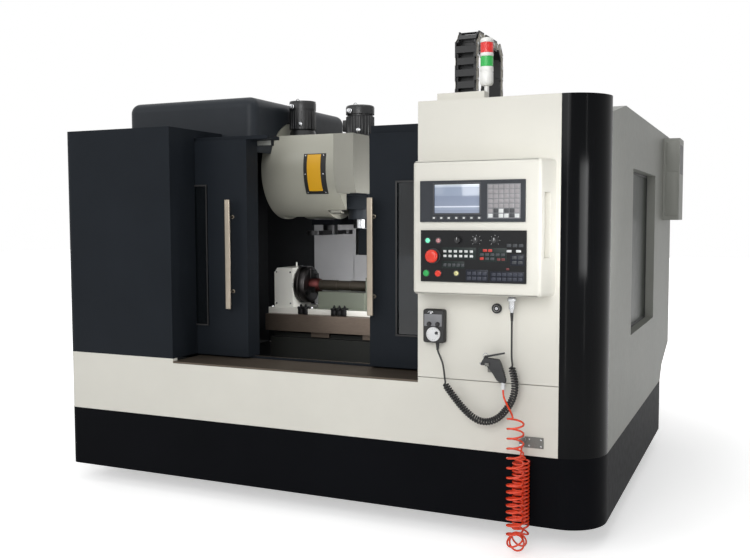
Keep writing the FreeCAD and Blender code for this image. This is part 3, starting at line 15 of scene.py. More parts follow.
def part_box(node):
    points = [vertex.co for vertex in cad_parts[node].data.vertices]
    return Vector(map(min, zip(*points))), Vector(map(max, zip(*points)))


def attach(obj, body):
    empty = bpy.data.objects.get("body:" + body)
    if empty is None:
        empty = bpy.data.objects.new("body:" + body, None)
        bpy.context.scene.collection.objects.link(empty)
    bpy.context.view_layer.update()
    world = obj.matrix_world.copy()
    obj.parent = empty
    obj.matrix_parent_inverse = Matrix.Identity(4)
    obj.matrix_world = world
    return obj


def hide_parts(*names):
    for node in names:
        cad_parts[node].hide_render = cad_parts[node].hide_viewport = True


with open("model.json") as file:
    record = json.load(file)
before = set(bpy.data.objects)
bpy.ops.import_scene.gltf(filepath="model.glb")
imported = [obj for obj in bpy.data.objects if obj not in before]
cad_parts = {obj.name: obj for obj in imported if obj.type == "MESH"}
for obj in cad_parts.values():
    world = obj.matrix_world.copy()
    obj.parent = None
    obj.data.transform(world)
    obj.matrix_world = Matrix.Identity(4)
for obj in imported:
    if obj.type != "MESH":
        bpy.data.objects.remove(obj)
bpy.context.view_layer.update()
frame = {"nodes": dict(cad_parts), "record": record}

bl_info = {
    "name": "Machining center looks",
    "version": (1, 0, 0),
    "blender": (4, 5, 0),
    "location": "View3D > Sidebar > Machining center",
    "description": "Dresses the packed solids of a vertical machining center",
    "category": "Object",
}

MIDDLE = Vector((1558.0, 1242.5, 0.0))     # of the machine, from its left side and front plane
FACE = -138.0                              # front of the pendant's two units
KEY_RISE = 2.4                             # of its keys from that front
SCREEN = (2286, 2498, 1527, 1656)          # display's glass: left, right, low, high
STOP, START, HOLD, FEED = (2281, 1334), (2250, 1256), (2307, 1256), (2401, 1407)    # panel's moving controls
# The handwheel's middle, its loop's and the cabinet socket's, all x and z.
WHEEL, LOOP, SOCKET = (2250, 965), (2236, 1064), (2542, 1093)
PLUG, RELIEF = (2625, -50), (2262, -25)                          # ends of the curly cord: x and y
GUN_TAIL, HOSE_END = (2590, -60), (2672, -40)                    # ends of the air hose: x and y
MM = 0.001

# The photograph's camera: place in millimetres, angles in degrees, focal length and width in pixels.
EYE = (3694.4, -3932.3, 1503.7)
YAW, PITCH, ROLL = 24.1667, -3.8729, -0.147
FOCAL, WIDE = 891.53, 750


def at(x, y, z):
    """A place in millimetres as a point of the frame, in metres."""
    return (Vector((x, y, z)) - MIDDLE) * MM


def linear(code):
    """An sRGB hex colour as linear red, green, blue and a full alpha."""
    parts = [int(code[i:i + 2], 16) / 255 for i in (1, 3, 5)]
    return (*[p / 12.92 if p <= 0.04045 else ((p + 0.055) / 1.055) ** 2.4 for p in parts], 1.0)


def colour(title, code, text):
    return FloatVectorProperty(name=title, description=text, subtype="COLOR", size=4,
                               min=0.0, max=1.0, default=linear(code))


class MachineColours(bpy.types.PropertyGroup):
    """Finishes that a user would change."""
    cream: colour("Cream covers", "#D3D1C8", "Powder coat of the light covers")
    dark: colour("Dark covers", "#1C2025", "Powder coat of the doors and the left cover")
    corner: colour("Corner column", "#060709", "Gloss enamel of the round corner column")
    base: colour("Base", "#0C0D10", "Satin paint of the base skirt")
    sheet: colour("Inner sheets", "#BDBDBF", "Paint of the guards behind the table")
    casting: colour("Castings", "#50524F", "Paint of the machine's castings")
    # Painted shade: the right side cover and heat exchanger are drawn as a greyer copy of the cream paint.
    side: colour("Side covers", "#92938D", "Greyer paint of the right side cover")
    # Painted shade: the head and drum covers are drawn as a greyer copy of the cream paint.
    drum: colour("Head and drum covers", "#A9A89C", "Greyer paint of the covers inside the doors")
    hose: colour("Air hose", "#E2421A", "Polyurethane of the spiral air hose")


class MachineSizes(bpy.types.PropertyGroup):
    """Sizes of the finishes and the cords that a user would change."""
    # Real orange peel is 1 to 3 mm from bump to bump. It is drawn at 6 mm, so that it shows.
    peel: FloatProperty(name="Orange peel", description="Size of the bumps in sprayed paint",
                        default=0.006, min=0.001, max=0.05, unit="LENGTH")
    edge: FloatProperty(name="Edge radius", description="Radius that the paint gives a folded edge",
                        default=0.003, min=0.0, max=0.02, unit="LENGTH")
    turn_points: IntProperty(name="Points a turn", description="Spline points in one turn of a curl",
                             default=12, min=8, max=24)


# ------------------------------------------------------------------ materials
def add(tree, kind, values=None, links=None, stops=(), **settings):
    """Add a node with its settings, its socket values, the sockets that feed it and its ramp's stops."""
    item = tree.nodes.new(kind)
    for key, value in settings.items():
        setattr(item, key, value)
    for key, value in (values or {}).items():
        item.inputs[key].default_value = value
    for key, source in (links or {}).items():
        tree.links.new(source, item.inputs[key])
    if stops:
        elements = item.color_ramp.elements
        while len(elements) < len(stops):
            elements.new(0.5)
        for element, (place, tint) in zip(elements, stops):
            element.position = place
            element.color = tint
    return item


def scaled(tint, factor):
    return (tint[0] * factor, tint[1] * factor, tint[2] * factor, 1.0)


def shades(tint, *stops):
    """Stops of a colour ramp: a tint made darker or lighter, from (place, factor) pairs."""
    return [(place, scaled(tint, factor)) for place, factor in stops]


def start_material(name, **shader):
    """A new material; returns it, its tree, its shader and the object's own coordinates."""
    made = bpy.data.materials.new(name)
    made.use_nodes = True
    tree = made.node_tree
    tree.nodes.clear()
    out = add(tree, "ShaderNodeOutputMaterial")
    body = add(tree, "ShaderNodeBsdfPrincipled", values=shader)
    tree.links.new(body.outputs["BSDF"], out.inputs["Surface"])
    where = add(tree, "ShaderNodeTexCoord").outputs["Object"]
    return made, tree, body, where


def surface(tree, body, tint, varied, roughness, grain, strength, depth, normal):
    """Give a shader its colour, a roughness that varies between two values and a raised grain."""
    rough = add(tree, "ShaderNodeMapRange", {"To Min": roughness[0], "To Max": roughness[1]},
                {"Value": varied})
    lift = add(tree, "ShaderNodeBump", {"Strength": strength, "Distance": depth},
               {"Height": grain, "Normal": normal})
    tree.links.new(tint, body.inputs["Base Color"])
    tree.links.new(rough.outputs["Result"], body.inputs["Roughness"])
    tree.links.new(lift.outputs["Normal"], body.inputs["Normal"])


def sprayed(name, tint, roughness, specular=0.5, dust=0.06, bump=0.12, chip=None):
    """Sprayed and baked paint on steel sheet: faint orange peel, soft edges, a little dust, and edges painted
    lighter, partly as wear and partly as a painted highlight.
    """
    sizes = bpy.context.scene.machine_sizes
    made, tree, body, where = start_material(name, **{"Specular IOR Level": specular})
    # Dust lies in clouds some 400 mm wide, and wiping and rubbing leave patches of about 40 mm.
    cloud = add(tree, "ShaderNodeTexNoise", {"Scale": 2.3, "Detail": 4.0, "Roughness": 0.55},
                {"Vector": where})
    smear = add(tree, "ShaderNodeTexNoise", {"Scale": 26.0, "Detail": 3.0}, {"Vector": where})
    base = add(tree, "ShaderNodeValToRGB", links={"Fac": cloud.outputs["Fac"]},
               stops=shades(tint, (0.3, 1 - dust), (0.7, 1 + dust)))
    edge = add(tree, "ShaderNodeBevel", {"Radius": sizes.edge}, samples=4)
    flat = add(tree, "ShaderNodeNewGeometry")
    facing = add(tree, "ShaderNodeVectorMath", operation="DOT_PRODUCT",
                 links={0: edge.outputs["Normal"], 1: flat.outputs["Normal"]})
    # Edges are painted lighter, partly as wear and partly as a painted highlight along the folds.
    rim = add(tree, "ShaderNodeMapRange", {"From Min": 0.995, "From Max": 0.75, "To Max": 0.5},
              {"Value": facing.outputs["Value"]})
    rubbed_and_highlight = add(tree, "ShaderNodeMath", links={0: rim.outputs["Result"], 1: smear.outputs["Fac"]},
                 operation="MULTIPLY")
    worn_and_highlit = add(tree, "ShaderNodeMix", {7: chip or scaled(tint, 1.35)},
               {"Factor": rubbed_and_highlight.outputs[0], 6: base.outputs["Color"]}, data_type="RGBA")
    peel = add(tree, "ShaderNodeTexNoise", {"Scale": 1 / sizes.peel, "Detail": 1.0}, {"Vector": where})
    surface(tree, body, worn_and_highlit.outputs[2], smear.outputs["Fac"], (roughness - 0.06, roughness + 0.08),
            peel.outputs["Fac"], bump, 0.0006, edge.outputs["Normal"])
    return made


# Sizes of patterns, in metres. Lines from grinding are really about 0.1 mm apart, and the dimples of
# spark-eroded plastic about 0.2 mm. They are too fine to show in the render, so both are drawn coarser.
LINES, DIMPLES = 0.0012, 0.0025


def machined(name, tint, roughness, stretch, grain=LINES, metallic=1.0):
    """Cut, ground or brushed metal: fine lines along one way and a little oil stain."""
    made, tree, body, where = start_material(name, Metallic=metallic)
    along = add(tree, "ShaderNodeMapping", {"Scale": stretch}, {"Vector": where})
    fine = add(tree, "ShaderNodeTexNoise", {"Scale": 1 / grain, "Detail": 2.0},
               {"Vector": along.outputs["Vector"]}).outputs["Fac"]
    base = add(tree, "ShaderNodeValToRGB", links={"Fac": fine},
               stops=shades(tint, (0.25, 0.82), (0.75, 1.12)))
    # Oil stains about 110 mm across.
    blot = add(tree, "ShaderNodeTexNoise", {"Scale": 9.0, "Detail": 5.0}, {"Vector": where})
    mask = add(tree, "ShaderNodeMapRange", {"From Min": 0.5, "From Max": 0.75, "To Max": 0.25},
               {"Value": blot.outputs["Fac"]})
    soiled = add(tree, "ShaderNodeMix", {7: scaled(tint, 0.45)},
                 {"Factor": mask.outputs["Result"], 6: base.outputs["Color"]}, data_type="RGBA")
    edge = add(tree, "ShaderNodeBevel", {"Radius": 0.0015}, samples=4)
    surface(tree, body, soiled.outputs[2], fine, (roughness - 0.08, roughness + 0.1),
            fine, 0.15, 0.0002, edge.outputs["Normal"])
    return made


def moulded(name, tint, roughness, bump=0.2, **shader):
    """Moulded plastic or rubber: a spark-eroded texture, soft edges and patches dulled by handling."""
    made, tree, body, where = start_material(name, **shader)
    fine = add(tree, "ShaderNodeTexNoise", {"Scale": 1 / DIMPLES, "Detail": 2.0}, {"Vector": where})
    # The dulled patches are about 70 mm wide.
    blot = add(tree, "ShaderNodeTexNoise", {"Scale": 14.0, "Detail": 3.0}, {"Vector": where}).outputs["Fac"]
    base = add(tree, "ShaderNodeValToRGB", links={"Fac": blot}, stops=shades(tint, (0.3, 0.9), (0.7, 1.1)))
    edge = add(tree, "ShaderNodeBevel", {"Radius": 0.001}, samples=4)
    surface(tree, body, base.outputs["Color"], blot, (roughness - 0.05, roughness + 0.07),
            fine.outputs["Fac"], bump, 0.0003, edge.outputs["Normal"])
    return made


def clear_sheet(name, tint, roughness):
    """Laminated glass: clear, faintly tinted, with wiped streaks and splashes."""
    made, tree, body, where = start_material(name, **{"Transmission Weight": 0.8, "IOR": 1.5})
    # Wiping leaves streaks about 55 mm wide and seven times as long.
    streak = add(tree, "ShaderNodeMapping", {"Scale": (1.0, 1.0, 0.15)}, {"Vector": where})
    wipe = add(tree, "ShaderNodeTexNoise", {"Scale": 18.0, "Detail": 4.0},
               {"Vector": streak.outputs["Vector"]}).outputs["Fac"]
    base = add(tree, "ShaderNodeValToRGB", links={"Fac": wipe},
               stops=shades(tint, (0.35, 0.85), (0.7, 1.15)))
    rough = add(tree, "ShaderNodeMapRange", {"To Min": roughness, "To Max": roughness + 0.12},
                {"Value": wipe})
    tree.links.new(base.outputs["Color"], body.inputs["Base Color"])
    tree.links.new(rough.outputs["Result"], body.inputs["Roughness"])
    return made


def lit_screen(name):
    """A flat display behind glass: pale blue-grey with darker rows, and one of its near-white stripes is a
    painted highlight on the glass.
    """
    made, tree, body, where = start_material(name, Roughness=0.12, **{
        "Coat Weight": 0.6, "Coat Roughness": 0.04, "Emission Strength": 0.04})
    height = add(tree, "ShaderNodeSeparateXYZ", links={"Vector": where})
    low, high = at(0, 0, SCREEN[2]).z, at(0, 0, SCREEN[3]).z
    share = add(tree, "ShaderNodeMapRange", {"From Min": low, "From Max": high},
                {"Value": height.outputs["Z"]})
    # Rows of the display, and one near-white stripe painted as a highlight on the glass.
    rows_and_highlight_band = add(tree, "ShaderNodeValToRGB", links={"Fac": share.outputs["Result"]}, stops=[
        (place, linear(code)) for place, code in (
            (0.0, "#7D889D"), (0.12, "#8894A8"), (0.2, "#C9D0DD"), (0.25, "#7D889D"), (0.6, "#8894A8"),
            (0.9, "#AEB8C8"), (0.96, "#CBD2DA"))])
    rows_and_highlight_band.color_ramp.interpolation = "CONSTANT"
    for key in ("Base Color", "Emission Color"):
        tree.links.new(rows_and_highlight_band.outputs["Color"], body.inputs[key])
    return made


WHITE, BARE_METAL = linear("#FFFFFF"), linear("#8C8C88")
# Each row: the material's name, its colour (a code or a field of MachineColours), roughness and settings.
PAINTS = {
    # Powder coat on folded steel sheet: satin, faintly bumpy, lighter on its edges, which is partly wear and
    # partly a painted highlight.
    "cream_paint": ("powder_coat_cream", "cream", 0.42, {"dust": 0.03}),
    "blue_black_paint": ("powder_coat_blue_black", "dark", 0.46, {"specular": 0.07, "dust": 0.1}),
    # The drum and head covers take the cream darkened to grey, as painted shade inside the enclosure.
    "shaded_drum_paint": ("powder_coat_stone_grey", "drum", 0.34, {"dust": 0.04}),
    "shaded_head_paint": ("powder_coat_warm_grey", "#94938A", 0.4, {"specular": 0.3}),
    # The right side takes the cream darkened to grey, as painted shade.
    "shaded_side_paint": ("powder_coat_pale_grey", "side", 0.46, {"specular": 0.2, "dust": 0.05}),
    "hood_paint": ("powder_coat_slate", "#2A2E33", 0.4, {"specular": 0.16, "dust": 0.12}),
    "grey_sheet": ("powder_coat_grey", "sheet", 0.4, {"dust": 0.08, "chip": BARE_METAL}),
    # Two-pack gloss enamel: a hard clear reflection over a deep black.
    "gloss_black_paint": ("gloss_enamel_black", "corner", 0.12, {"specular": 0.07, "bump": 0.03}),
    "white_paint": ("gloss_enamel_white", "#E4E3DC", 0.3, {"dust": 0.03}),
    # Duller enamels, brushed or sprayed.
    "black_paint": ("satin_enamel_black", "base", 0.5, {"specular": 0.025, "dust": 0.12}),
    # The inner guards are drawn near black: painted shade inside the enclosure.
    "shaded_inside_paint": ("matt_enamel_black", "#2C2D2F", 0.5, {"specular": 0.15, "dust": 0.2}),
    "black_motor": ("motor_enamel_black", "#0E0F11", 0.34, {"dust": 0.1}),
    "clamp_grey": ("enamel_green_grey", "#6F7468", 0.4, {"dust": 0.1}),
    "plate_yellow": ("enamel_yellow", "#E0A81E", 0.4, {"dust": 0.05}),
    # Filled and painted grey iron: the casting skin still shows as a coarse, shallow bump.
    "cast_iron_paint": ("painted_grey_iron", "casting", 0.5, {"bump": 0.5, "dust": 0.15, "chip": BARE_METAL}),
    # The saddle and bed are painted grey iron darkened almost to black: painted shade under the table and
    # behind the sill.
    "shaded_saddle_paint": ("oiled_casting", "#2A2B29", 0.5, {"specular": 0.2, "bump": 0.5, "chip": BARE_METAL}),
}
# Metals have the stretch of their machining lines before the settings.
METALS = {
    # Rolled steel plate trodden and wiped with oily hands: brown-grey and half dull.
    "tan_plate": ("worn_rolled_steel", "#544B41", 0.46, (0.06, 1.0, 1.0), {"metallic": 0.55}),
    # Ground grey iron table: dull brown-grey with grinding lines along X and oil film.
    "ground_iron": ("ground_grey_iron", "#7A6D62", 0.4, (0.05, 1.0, 1.0), {"metallic": 0.7}),
    # Blackened, oiled tool steel.
    "dark_steel": ("blackened_tool_steel", "#3A3838", 0.36, (1.0, 0.3, 0.3), {}),
    "jaw_steel": ("hardened_steel_black", "#262627", 0.4, (1.0, 0.4, 0.4), {"metallic": 0.8}),
    # Turned and ground steel.
    "bright_steel": ("ground_steel", "#B9BABC", 0.24, (0.4, 1.0, 1.0), {}),
    # Rolled bar with its brown scale, and a blank under red oxide.
    "bar_steel": ("rolled_bar_brown", "#4A443C", 0.44, (0.05, 1.0, 1.0), {"metallic": 0.7}),
    "blank_red": ("red_oxide_bar", "#5E3433", 0.46, (1.0, 0.3, 0.3), {}),
    # Extruded aluminium, brushed along its length and clear anodised: warm satin.
    "satin_handle": ("anodised_aluminium", "#958C7F", 0.34, (1.0, 1.0, 0.05), {"grain": 0.0008}),
    # Drawn aluminium rail, dull from handling.
    "rail_alloy": ("drawn_aluminium", "#9A9C96", 0.4, (0.04, 1.0, 1.0), {"metallic": 0.7}),
    # Zinc-plated steel, dusty.
    "zinc_plate": ("zinc_plated_sheet", "#6E6E6A", 0.5, (1.0, 1.0, 0.3), {"metallic": 0.4}),
    "link_plate": ("zinc_plated_steel", "#8C877A", 0.46, (1.0, 1.0, 0.2), {"metallic": 0.55}),
}
MEMBRANE = {"bump": 0.05, "Specular IOR Level": 0.22}
# The signal lenses glow faintly though their lamps are off: painted light.
SIGNAL_LENS = {"bump": 0.02, "Transmission Weight": 0.25, "glow": 0.12}
PLASTICS = {
    "black_plastic": ("glass_filled_nylon_black", "#101113", 0.48, {}),
    "panel_plastic": ("membrane_panel_black", "#0D0E10", 0.34, MEMBRANE),
    "bezel_plastic": ("abs_bezel_slate", "#2C2F34", 0.4, {"bump": 0.05, "Specular IOR Level": 0.25}),
    "membrane_navy": ("membrane_navy", "#131722", 0.34, MEMBRANE),
    "membrane_green": ("membrane_green", "#0F1B19", 0.34, MEMBRANE),
    "dial_white": ("abs_dial_white", "#DADBDC", 0.3, {"bump": 0.04}),
    # Moulded rubber boots, cases and seals: dull, slightly grey where they are handled.
    "black_rubber": ("nitrile_rubber", "#0B0B0C", 0.55, {"bump": 0.3}),
    "gasket": ("epdm_gasket", "#0C0C0D", 0.55, {}),
    # Extruded polyurethane: glossy, and the hose is a little translucent.
    "black_cord": ("polyurethane_black", "#0B0B0C", 0.34, {"bump": 0.05}),
    "orange_hose": ("polyurethane_orange", "hose", 0.24, {
        "bump": 0.04, "Subsurface Weight": 0.15, "Subsurface Radius": (0.004, 0.0015, 0.0008),
        "Subsurface Scale": 1.0}),
    # Solid smoked acrylic.
    "frosted_glass": ("smoked_acrylic", "#3B3F3A", 0.3, {"bump": 0.01, "Specular IOR Level": 0.06}),
    # Injection-moulded lenses of the signal light, over lamps that are off but drawn with a faint painted
    # glow, and of the panel's lamps.
    "red_lens": ("acrylic_lens_red", "#E01E16", 0.14, SIGNAL_LENS),
    "green_lens": ("acrylic_lens_green", "#1FB14C", 0.14, SIGNAL_LENS),
    "lens_white": ("polycarbonate_white", "#E9E9E6", 0.3, {"bump": 0.03}),
    "lens_amber": ("acrylic_lens_amber", "#C9C48A", 0.2, {"bump": 0.02}),
    "pink_lamp": ("acrylic_lens_pink", "#B07A7C", 0.2, {"bump": 0.02}),
    "mint_lamp": ("acrylic_lens_mint", "#6FE3B4", 0.18, {"bump": 0.02, "glow": 0.35}),
}
KEYS = (("grey", "#77787B", 0.45), ("light", "#C9CBCB", 0.4), ("dark", "#2B2D31", 0.4),
        ("red", "#A8281E", 0.38), ("pale", "#8D8A8C", 0.45), ("slate", "#2B2F33", 0.42),
        ("maroon", "#5A1A1C", 0.42), ("navy", "#1C2130", 0.42))
BUTTONS = (("red", "#D8301A"), ("green", "#1E9A48"))


def make_materials():
    """Every finish of the machine, by name."""
    tints = bpy.context.scene.machine_colours

    def tint_of(code):
        return linear(code) if code.startswith("#") else getattr(tints, code)

    made = {"window_glass": clear_sheet("laminated_glass", linear("#2A3035"), 0.02),
            "screen": lit_screen("display_glass")}
    for finish, (name, code, roughness, settings) in PAINTS.items():
        made[finish] = sprayed(name, tint_of(code), roughness, **settings)
    for finish, (name, code, roughness, stretch, settings) in METALS.items():
        made[finish] = machined(name, tint_of(code), roughness, stretch, **settings)
    for finish, (name, code, roughness, settings) in PLASTICS.items():
        shader = dict(settings)
        if "glow" in shader:
            shader.update({"Emission Color": tint_of(code), "Emission Strength": shader.pop("glow")})
        made[finish] = moulded(name, tint_of(code), roughness, **shader)
    for hue, code, roughness in KEYS:
        made["key_" + hue] = moulded("abs_key_" + hue, linear(code), roughness)
    for hue, code in BUTTONS:
        made[hue + "_button"] = moulded("abs_button_" + hue, linear(code), 0.26, bump=0.03)
    return made


FINISH = {}


# ------------------------------------------------------------------ makers of meshes
def block(bm, x0, x1, y0, y1, z0, z1, radius=0.0, segments=2):
    """Add a box with rolled edges; places in millimetres."""
    low, high = at(x0, y0, z0), at(x1, y1, z1)
    size = high - low
    made = bmesh.ops.create_cube(bm, size=1.0)["verts"]
    for vert in made:
        vert.co = Vector(low[i] + (vert.co[i] + 0.5) * size[i] for i in range(3))
    if radius:
        edges = list(dict.fromkeys(edge for vert in made for edge in vert.link_edges))
        bmesh.ops.bevel(bm, geom=edges, offset=radius * MM, segments=segments, profile=0.5, affect="EDGES")


AXES = {"x": Matrix.Rotation(math.pi / 2, 3, "Y"), "y": Matrix.Rotation(-math.pi / 2, 3, "X"),
        "z": Matrix.Identity(3), "-y": Matrix.Rotation(math.pi / 2, 3, "X")}


def turned(bm, axis, x, y, z, outline, steps=32, flutes=0, depth=0.0):
    """Add a turned piece: outline is (along, radius) pairs in millimetres from x, y, z along axis.

    With flutes, its side has that many grooves of the given depth.
    """
    steps = 4 * flutes or steps
    base, turn = at(x, y, z), AXES[axis]
    rings = []
    for along, radius in outline:
        ring = []
        for index in range(steps if radius > 0 else 1):
            angle = 2 * math.pi * index / steps
            reach = radius - depth if flutes and index % 4 > 1 else radius
            spot = Vector((reach * math.cos(angle), reach * math.sin(angle), along)) * MM
            ring.append(bm.verts.new(base + turn @ spot))
        rings.append(ring)
    for low, high in zip(rings, rings[1:]):
        count = max(len(low), len(high))
        for index in range(count):
            after = (index + 1) % count
            quad = [low[index % len(low)], low[after % len(low)], high[after % len(high)],
                    high[index % len(high)]]
            bm.faces.new(list(dict.fromkeys(quad)))
    for ring, flip in ((rings[0], True), (rings[-1], False)):
        if len(ring) > 1:
            bm.faces.new(list(reversed(ring)) if flip else ring)


def outline_solid(bm, points, low, high):
    """Add a solid from a closed outline of (x, z) pairs, pulled along Y from low to high."""
    ends = [[bm.verts.new(at(x, level, z)) for x, z in points] for level in (low, high)]
    bm.faces.new(ends[0])
    bm.faces.new(list(reversed(ends[1])))
    for index in range(len(points)):
        after = (index + 1) % len(points)
        bm.faces.new([ends[0][after], ends[0][index], ends[1][index], ends[1][after]])


def frame_ring(bm, x0, x1, y0, y1, z0, z1, width, radius=2.0):
    """Add four rails round an opening in the XZ plane."""
    block(bm, x0, x1, y0, y1, z0, z0 + width, radius)
    block(bm, x0, x1, y0, y1, z1 - width, z1, radius)
    block(bm, x0, x0 + width, y0, y1, z0 + width, z1 - width, radius)
    block(bm, x1 - width, x1, y0, y1, z0 + width, z1 - width, radius)


@contextmanager
def piece(name, finish, slot="black_plastic", body="frame", stands_for=None):
    """A mesh to be filled, which then becomes an object with its finish and its body; the slot is not used.
    """
    bm = bmesh.new()
    yield bm
    bmesh.ops.recalc_face_normals(bm, faces=bm.faces)
    mesh = bpy.data.meshes.new(name)
    bm.to_mesh(mesh)
    bm.free()
    made = bpy.data.objects.new(name, mesh)
    bpy.context.scene.collection.objects.link(made)
    mesh.materials.append(FINISH[finish])
    mesh.shade_smooth()
    mesh.set_sharp_from_angle(angle=math.radians(40))
    if stands_for:
        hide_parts(stands_for)
    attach(made, body)


def screws(bm, axis, places, diameter, height=3.0):
    """Add screw heads, each with a chamfered rim and a round recess."""
    half = diameter / 2
    for x, y, z in places:
        turned(bm, axis, x, y, z, [
            (0, half), (height * 0.7, half), (height, half * 0.8), (height, half * 0.45),
            (height * 0.4, half * 0.4), (height * 0.4, 0)], steps=12)


# ------------------------------------------------------------------ camera, light and floor
class MACHINE_OT_stage(bpy.types.Operator):
    """Camera at the photograph's place, soft lamps and a pale floor"""
    bl_idname = "machine.stage"
    bl_label = "Stage"

    def execute(self, context):
        scene = context.scene
        scene.view_settings.view_transform = "Standard"
        lens = bpy.data.cameras.new("camera")
        camera = bpy.data.objects.new("camera", lens)
        scene.collection.objects.link(camera)
        yaw, pitch, roll = (math.radians(angle) for angle in (YAW, PITCH, ROLL))
        ahead = Vector((-math.sin(yaw) * math.cos(pitch), math.cos(yaw) * math.cos(pitch), math.sin(pitch)))
        level = Vector((math.cos(yaw), math.sin(yaw), 0.0))
        upright = level.cross(ahead)
        right = level * math.cos(roll) + upright * math.sin(roll)
        up = upright * math.cos(roll) - level * math.sin(roll)
        turn = Matrix((right, up, -ahead)).transposed()
        camera.matrix_world = Matrix.Translation(at(*EYE)) @ turn.to_4x4()
        lens.sensor_width = 36.0
        lens.lens = FOCAL / WIDE * lens.sensor_width
        lens.clip_end = 200.0
        scene.camera = camera
        # Name, place, width, height, power, spread in degrees and aim. The strips show in the gloss column.
        lamps = (("key_lamp", (0.9, -6.6, 3.6), 3.0, 3.0, 140.0, 180, (0.0, 0.0, 1.1)),
                 ("left_lamp", (-4.6, -6.0, 4.4), 4.0, 4.0, 60.0, 180, (0.0, 0.0, 1.1)),
                 ("top_lamp", (0.4, -0.6, 6.5), 5.0, 5.0, 95.0, 180, (0.0, 0.0, 1.1)),
                 ("work_lamp", (0.62, -0.62, 1.3), 0.6, 0.6, 10.5, 180, (-0.4, 0.5, 1.05)),
                 ("pendant_lamp", (2.0, -1.75, 1.5), 0.4, 0.6, 1.3, 60, (1.22, -1.27, 1.46)),
                 ("strip_front", (1.75, -6.0, 1.7), 0.14, 3.4, 12.0, 180, (1.4, -1.2, 1.5)),
                 ("strip_right", (5.4, -3.9, 1.9), 0.1, 3.4, 9.0, 180, (1.4, -1.2, 1.5)))
        for name, place, width, height, power, spread, target in lamps:
            data = bpy.data.lights.new(name, "AREA")
            data.shape = "RECTANGLE"
            data.size, data.size_y = width, height
            data.spread = math.radians(spread)
            data.energy = power
            lamp = bpy.data.objects.new(name, data)
            lamp.location = place
            aim = Vector(target) - lamp.location
            lamp.rotation_euler = aim.to_track_quat("-Z", "Y").to_euler()
            lamp.visible_camera = False
            scene.collection.objects.link(lamp)
        self.world(scene)
        self.floor(scene)
        return {"FINISHED"}

    def seen(self, tree):
        """One where the background is seen: straight on, in a reflection or through glass."""
        rays = add(tree, "ShaderNodeLightPath").outputs
        share = rays["Is Camera Ray"]
        for kind in ("Is Transmission Ray", "Is Glossy Ray"):
            share = add(tree, "ShaderNodeMath", links={0: share, 1: rays[kind]},
                        operation="MAXIMUM").outputs[0]
        return share

    def world(self, scene):
        """White where it is seen, dimmer where it lights the machine, and brighter in front than behind."""
        world = bpy.data.worlds.new("studio")
        scene.world = world
        world.use_nodes = True
        tree = world.node_tree
        tree.nodes.clear()
        where = add(tree, "ShaderNodeTexCoord").outputs["Generated"]
        front = add(tree, "ShaderNodeVectorMath", {1: (-0.25, -0.88, 0.4)}, {0: where},
                    operation="DOT_PRODUCT")
        level = add(tree, "ShaderNodeMapRange", {"From Min": -0.25, "To Min": 0.05, "To Max": 0.52},
                    {"Value": front.outputs["Value"]}).outputs["Result"]
        soft = add(tree, "ShaderNodeBackground", {"Color": WHITE}, {"Strength": level}).outputs[0]
        full = add(tree, "ShaderNodeBackground", {"Color": WHITE, "Strength": 1.0}).outputs[0]
        both = add(tree, "ShaderNodeMixShader", links={"Fac": self.seen(tree), 1: soft, 2: full}).outputs[0]
        add(tree, "ShaderNodeOutputWorld", links={"Surface": both})

    def floor(self, scene):
        """A pale floor that keeps the machine's shadow and runs out into white away from it."""
        bm = bmesh.new()
        reach = 30.0
        corners = ((-reach, -reach), (reach, -reach), (reach, reach), (-reach, reach))
        bm.faces.new([bm.verts.new((x, y, 0.0)) for x, y in corners])
        mesh = bpy.data.meshes.new("floor")
        bm.to_mesh(mesh)
        bm.free()
        floor = bpy.data.objects.new("floor", mesh)
        scene.collection.objects.link(floor)
        made, tree, body, where = start_material("sealed_concrete_pale", Roughness=0.6,
                                                 **{"Emission Color": WHITE})
        far = add(tree, "ShaderNodeVectorMath", links={0: where}, operation="LENGTH").outputs["Value"]
        fade = add(tree, "ShaderNodeMapRange", {"From Min": 1.8, "From Max": 4.2, "To Min": 0.5},
                   {"Value": far})
        glow = add(tree, "ShaderNodeMath", links={0: self.seen(tree), 1: fade.outputs["Result"]},
                   operation="MULTIPLY")
        grain = add(tree, "ShaderNodeTexNoise", {"Scale": 1.5, "Detail": 3.0}, {"Vector": where})
        pale = add(tree, "ShaderNodeValToRGB", links={"Fac": grain.outputs["Fac"]},
                   stops=[(0.3, linear("#F4F4F4")), (0.7, linear("#FBFBFB"))])
        tree.links.new(pale.outputs["Color"], body.inputs["Base Color"])
        tree.links.new(glow.outputs[0], body.inputs["Emission Strength"])
        mesh.materials.append(made)


# ------------------------------------------------------------------ curly cord and air hose
ROUTE_STEPS = 1200


def route_line(points):
    """Evenly spaced points, in metres, of the smooth spline steered by points in millimetres."""
    data = bpy.data.curves.new("route", "CURVE")
    data.dimensions = "3D"
    data.resolution_u = 24
    spline = data.splines.new("NURBS")
    spline.points.add(len(points) - 1)
    for target, spot in zip(spline.points, points):
        target.co = (*at(*spot), 1.0)
    spline.order_u = 3
    spline.use_endpoint_u = True
    helper = bpy.data.objects.new("route", data)
    mesh = bpy.data.meshes.new_from_object(helper)
    spots = [vert.co.copy() for vert in mesh.vertices]
    bpy.data.objects.remove(helper)
    bpy.data.meshes.remove(mesh)
    bpy.data.curves.remove(data)
    reached = [0.0]
    for here, there in zip(spots, spots[1:]):
        reached.append(reached[-1] + (there - here).length)
    even, index = [], 0
    for step in range(ROUTE_STEPS + 1):
        goal = reached[-1] * step / ROUTE_STEPS
        while index < len(spots) - 2 and reached[index + 1] < goal:
            index += 1
        share = (goal - reached[index]) / max(reached[index + 1] - reached[index], 1e-9)
        even.append(spots[index].lerp(spots[index + 1], min(share, 1.0)))
    return even, reached[-1]


